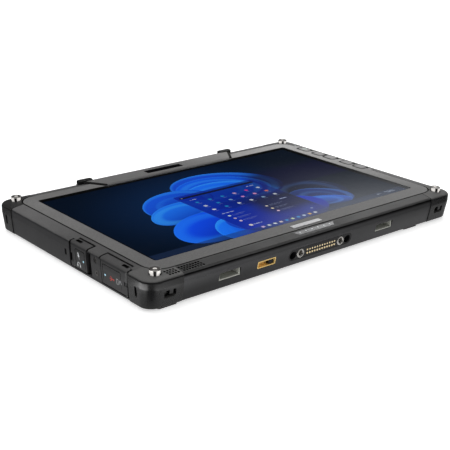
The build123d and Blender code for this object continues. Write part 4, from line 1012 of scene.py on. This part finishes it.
def floor_reflection(tree):
    """What the casing mirrors: a sheet that falls off, bright cards and darker areas."""
    x, y = tree.x, tree.y

    def card(centre_x, centre_y, half_x, half_y, power):
        radius = hypot((x - centre_x) / half_x, (y - centre_y) / half_y)
        return radius.smooth(1.35, 0.45) * power

    away = hypot((abs(x) - 157.0).max(0.0), (abs(y) - 103.0).max(0.0))
    level = away.remap(12.0, 60.0, 0.55, 0.20)
    for values in CARDS:
        level = level + card(*values)
    level = level * (1.0 - card(*DARK_GAP))
    level = level * (1.0 - x.smooth(-150.0, -165.0) * y.smooth(-20.0, 30.0) * 0.35)
    level = level * (1.0 - y.smooth(-110.0, -125.0) * x.smooth(90.0, 130.0) * 0.5)
    return tree.node("ShaderNodeEmission", {"Color": tree.grey(level)}).outputs[0]


def floor_material():
    look, tree = material("floor")
    soft = tree.noise(220.0, 3.0)
    sheet = tree.principled(tree.tint((0.90, 0.90, 0.90), 0.985 + 0.03 * soft), 0.75,
                            tree.bump(soft, 0.02), spec=0.1,
                            glow=((1.0, 1.0, 1.0), FLOOR_LIFT))
    path = tree.node("ShaderNodeLightPath")
    seen = tree.mix_shader(path.outputs["Is Glossy Ray"], sheet, floor_reflection(tree))
    # seen from below, the sheet lets the underside show
    back_face = Signal(tree, tree.node("ShaderNodeNewGeometry").outputs["Backfacing"])
    below = back_face * Signal(tree, path.outputs["Is Camera Ray"])
    clear = tree.node("ShaderNodeBsdfTransparent").outputs[0]
    tree.finish(tree.mix_shader(below, seen, clear))
    return look


def build_floor():
    """Large flat disc made of rings."""
    bm = bmesh.new()
    centre = bm.verts.new((0, 0, FLOOR_Z))
    turns = [2 * math.pi * i / FLOOR_SIDES for i in range(FLOOR_SIDES)]
    previous = None
    for radius in FLOOR_RADII:
        ring = [bm.verts.new((radius * math.cos(turn), radius * math.sin(turn), FLOOR_Z))
                for turn in turns]
        for i in range(FLOOR_SIDES):
            j = (i + 1) % FLOOR_SIDES
            if previous is None:
                bm.faces.new((centre, ring[i], ring[j]))
            else:
                bm.faces.new((previous[i], ring[i], ring[j], previous[j]))
        previous = ring
    floor = new_object("floor", bm)
    floor.data.materials.append(floor_material())


build_floor()


# ---------------------------------------------------------------------------
# light
# ---------------------------------------------------------------------------
def build_top_light():
    """Soft rectangle overhead, aimed at the origin and hidden from reflections."""
    light = bpy.data.lights.new("top_soft", "AREA")
    light.shape = "RECTANGLE"
    light.size, light.size_y = 1.6, 1.4
    light.energy = 12.0
    light.color = (1, 1, 1)
    light.spread = math.radians(180.0)
    lamp = bpy.data.objects.new("top_soft", light)
    lamp.location = (0.15, 0.25, 1.6)
    aim = Vector((0, 0, 0)) - Vector((0.15, 0.25, 1.6))
    lamp.rotation_euler = aim.to_track_quat("-Z", "Y").to_euler()
    lamp.visible_glossy = False
    scene.collection.objects.link(lamp)


def build_world():
    """White to the camera, even light for shading, and shaped panels for reflections."""
    world = bpy.data.worlds.new("studio")
    scene.world = world
    world.use_nodes = True
    tree = Tree(world.node_tree)
    to_x, to_y, to_z = tree.split(tree.node("ShaderNodeTexCoord").outputs["Generated"])
    degrees = 180.0 / math.pi
    azimuth = tree.math("ARCTAN2", to_y, to_x) * degrees
    elevation = tree.math("ARCSINE", to_z) * degrees
    # broad soft panel beyond the +X +Y corner
    panel = (azimuth.smooth(49.4, 38.0) * azimuth.smooth(20.0, 34.0)
             * elevation.smooth(15.5, 27.5) * elevation.smooth(50.0, 36.0))
    ceiling = elevation.smooth(42.0, 75.0)
    left = azimuth.smooth(120.0, 160.0) * elevation.smooth(-5.0, 25.0)
    horizon = (azimuth.smooth(-12.0, 6.0) * azimuth.smooth(78.0, 56.0)
               * elevation.smooth(-3.0, 1.0) * elevation.smooth(9.5, 5.5))
    mirrored = 0.003 + panel * 3.4 + ceiling * 0.9 + left * 0.25 + horizon * 0.7

    def background(**inputs):
        return tree.node("ShaderNodeBackground", inputs).outputs[0]

    path = tree.node("ShaderNodeLightPath")
    lit = tree.mix_shader(path.outputs["Is Glossy Ray"],
                          background(Color=(1, 1, 1), Strength=0.62),
                          background(Color=tree.grey(mirrored)))
    tree.finish(tree.mix_shader(path.outputs["Is Camera Ray"], lit, background(Color=(1, 1, 1))),
                "ShaderNodeOutputWorld")


build_top_light()
build_world()
scene.view_settings.view_transform = "Standard"
scene.view_settings.look = "None"


# ---------------------------------------------------------------------------
# camera: looks at the origin from the -X -Y side, then shifts in its own plane
# ---------------------------------------------------------------------------
AZIMUTH, ELEVATION, ROLL = map(math.radians, (-40.2595, 20.1367, 1.0307))
DISTANCE = 0.784718
SHIFT_RIGHT, SHIFT_UP = -0.00475977, -0.00209292


def build_camera():
    back = Vector((math.sin(AZIMUTH) * math.cos(ELEVATION),
                   -math.cos(AZIMUTH) * math.cos(ELEVATION), math.sin(ELEVATION)))
    level_right = Vector((math.cos(AZIMUTH), math.sin(AZIMUTH), 0.0))
    level_up = back.cross(level_right)
    right = level_right * math.cos(ROLL) + level_up * math.sin(ROLL)
    up = level_up * math.cos(ROLL) - level_right * math.sin(ROLL)
    position = back * DISTANCE + right * SHIFT_RIGHT + up * SHIFT_UP
    lens = bpy.data.cameras.new("camera")
    lens.sensor_width = 36.0
    lens.lens = 76.09296
    lens.clip_start, lens.clip_end = 0.01, 100.0
    camera = bpy.data.objects.new("camera", lens)
    rows = [(right[i], up[i], back[i], position[i]) for i in range(3)]
    camera.matrix_world = Matrix((*rows, (0, 0, 0, 1)))
    scene.collection.objects.link(camera)
    scene.camera = camera


build_camera()

bpy.context.view_layer.update()
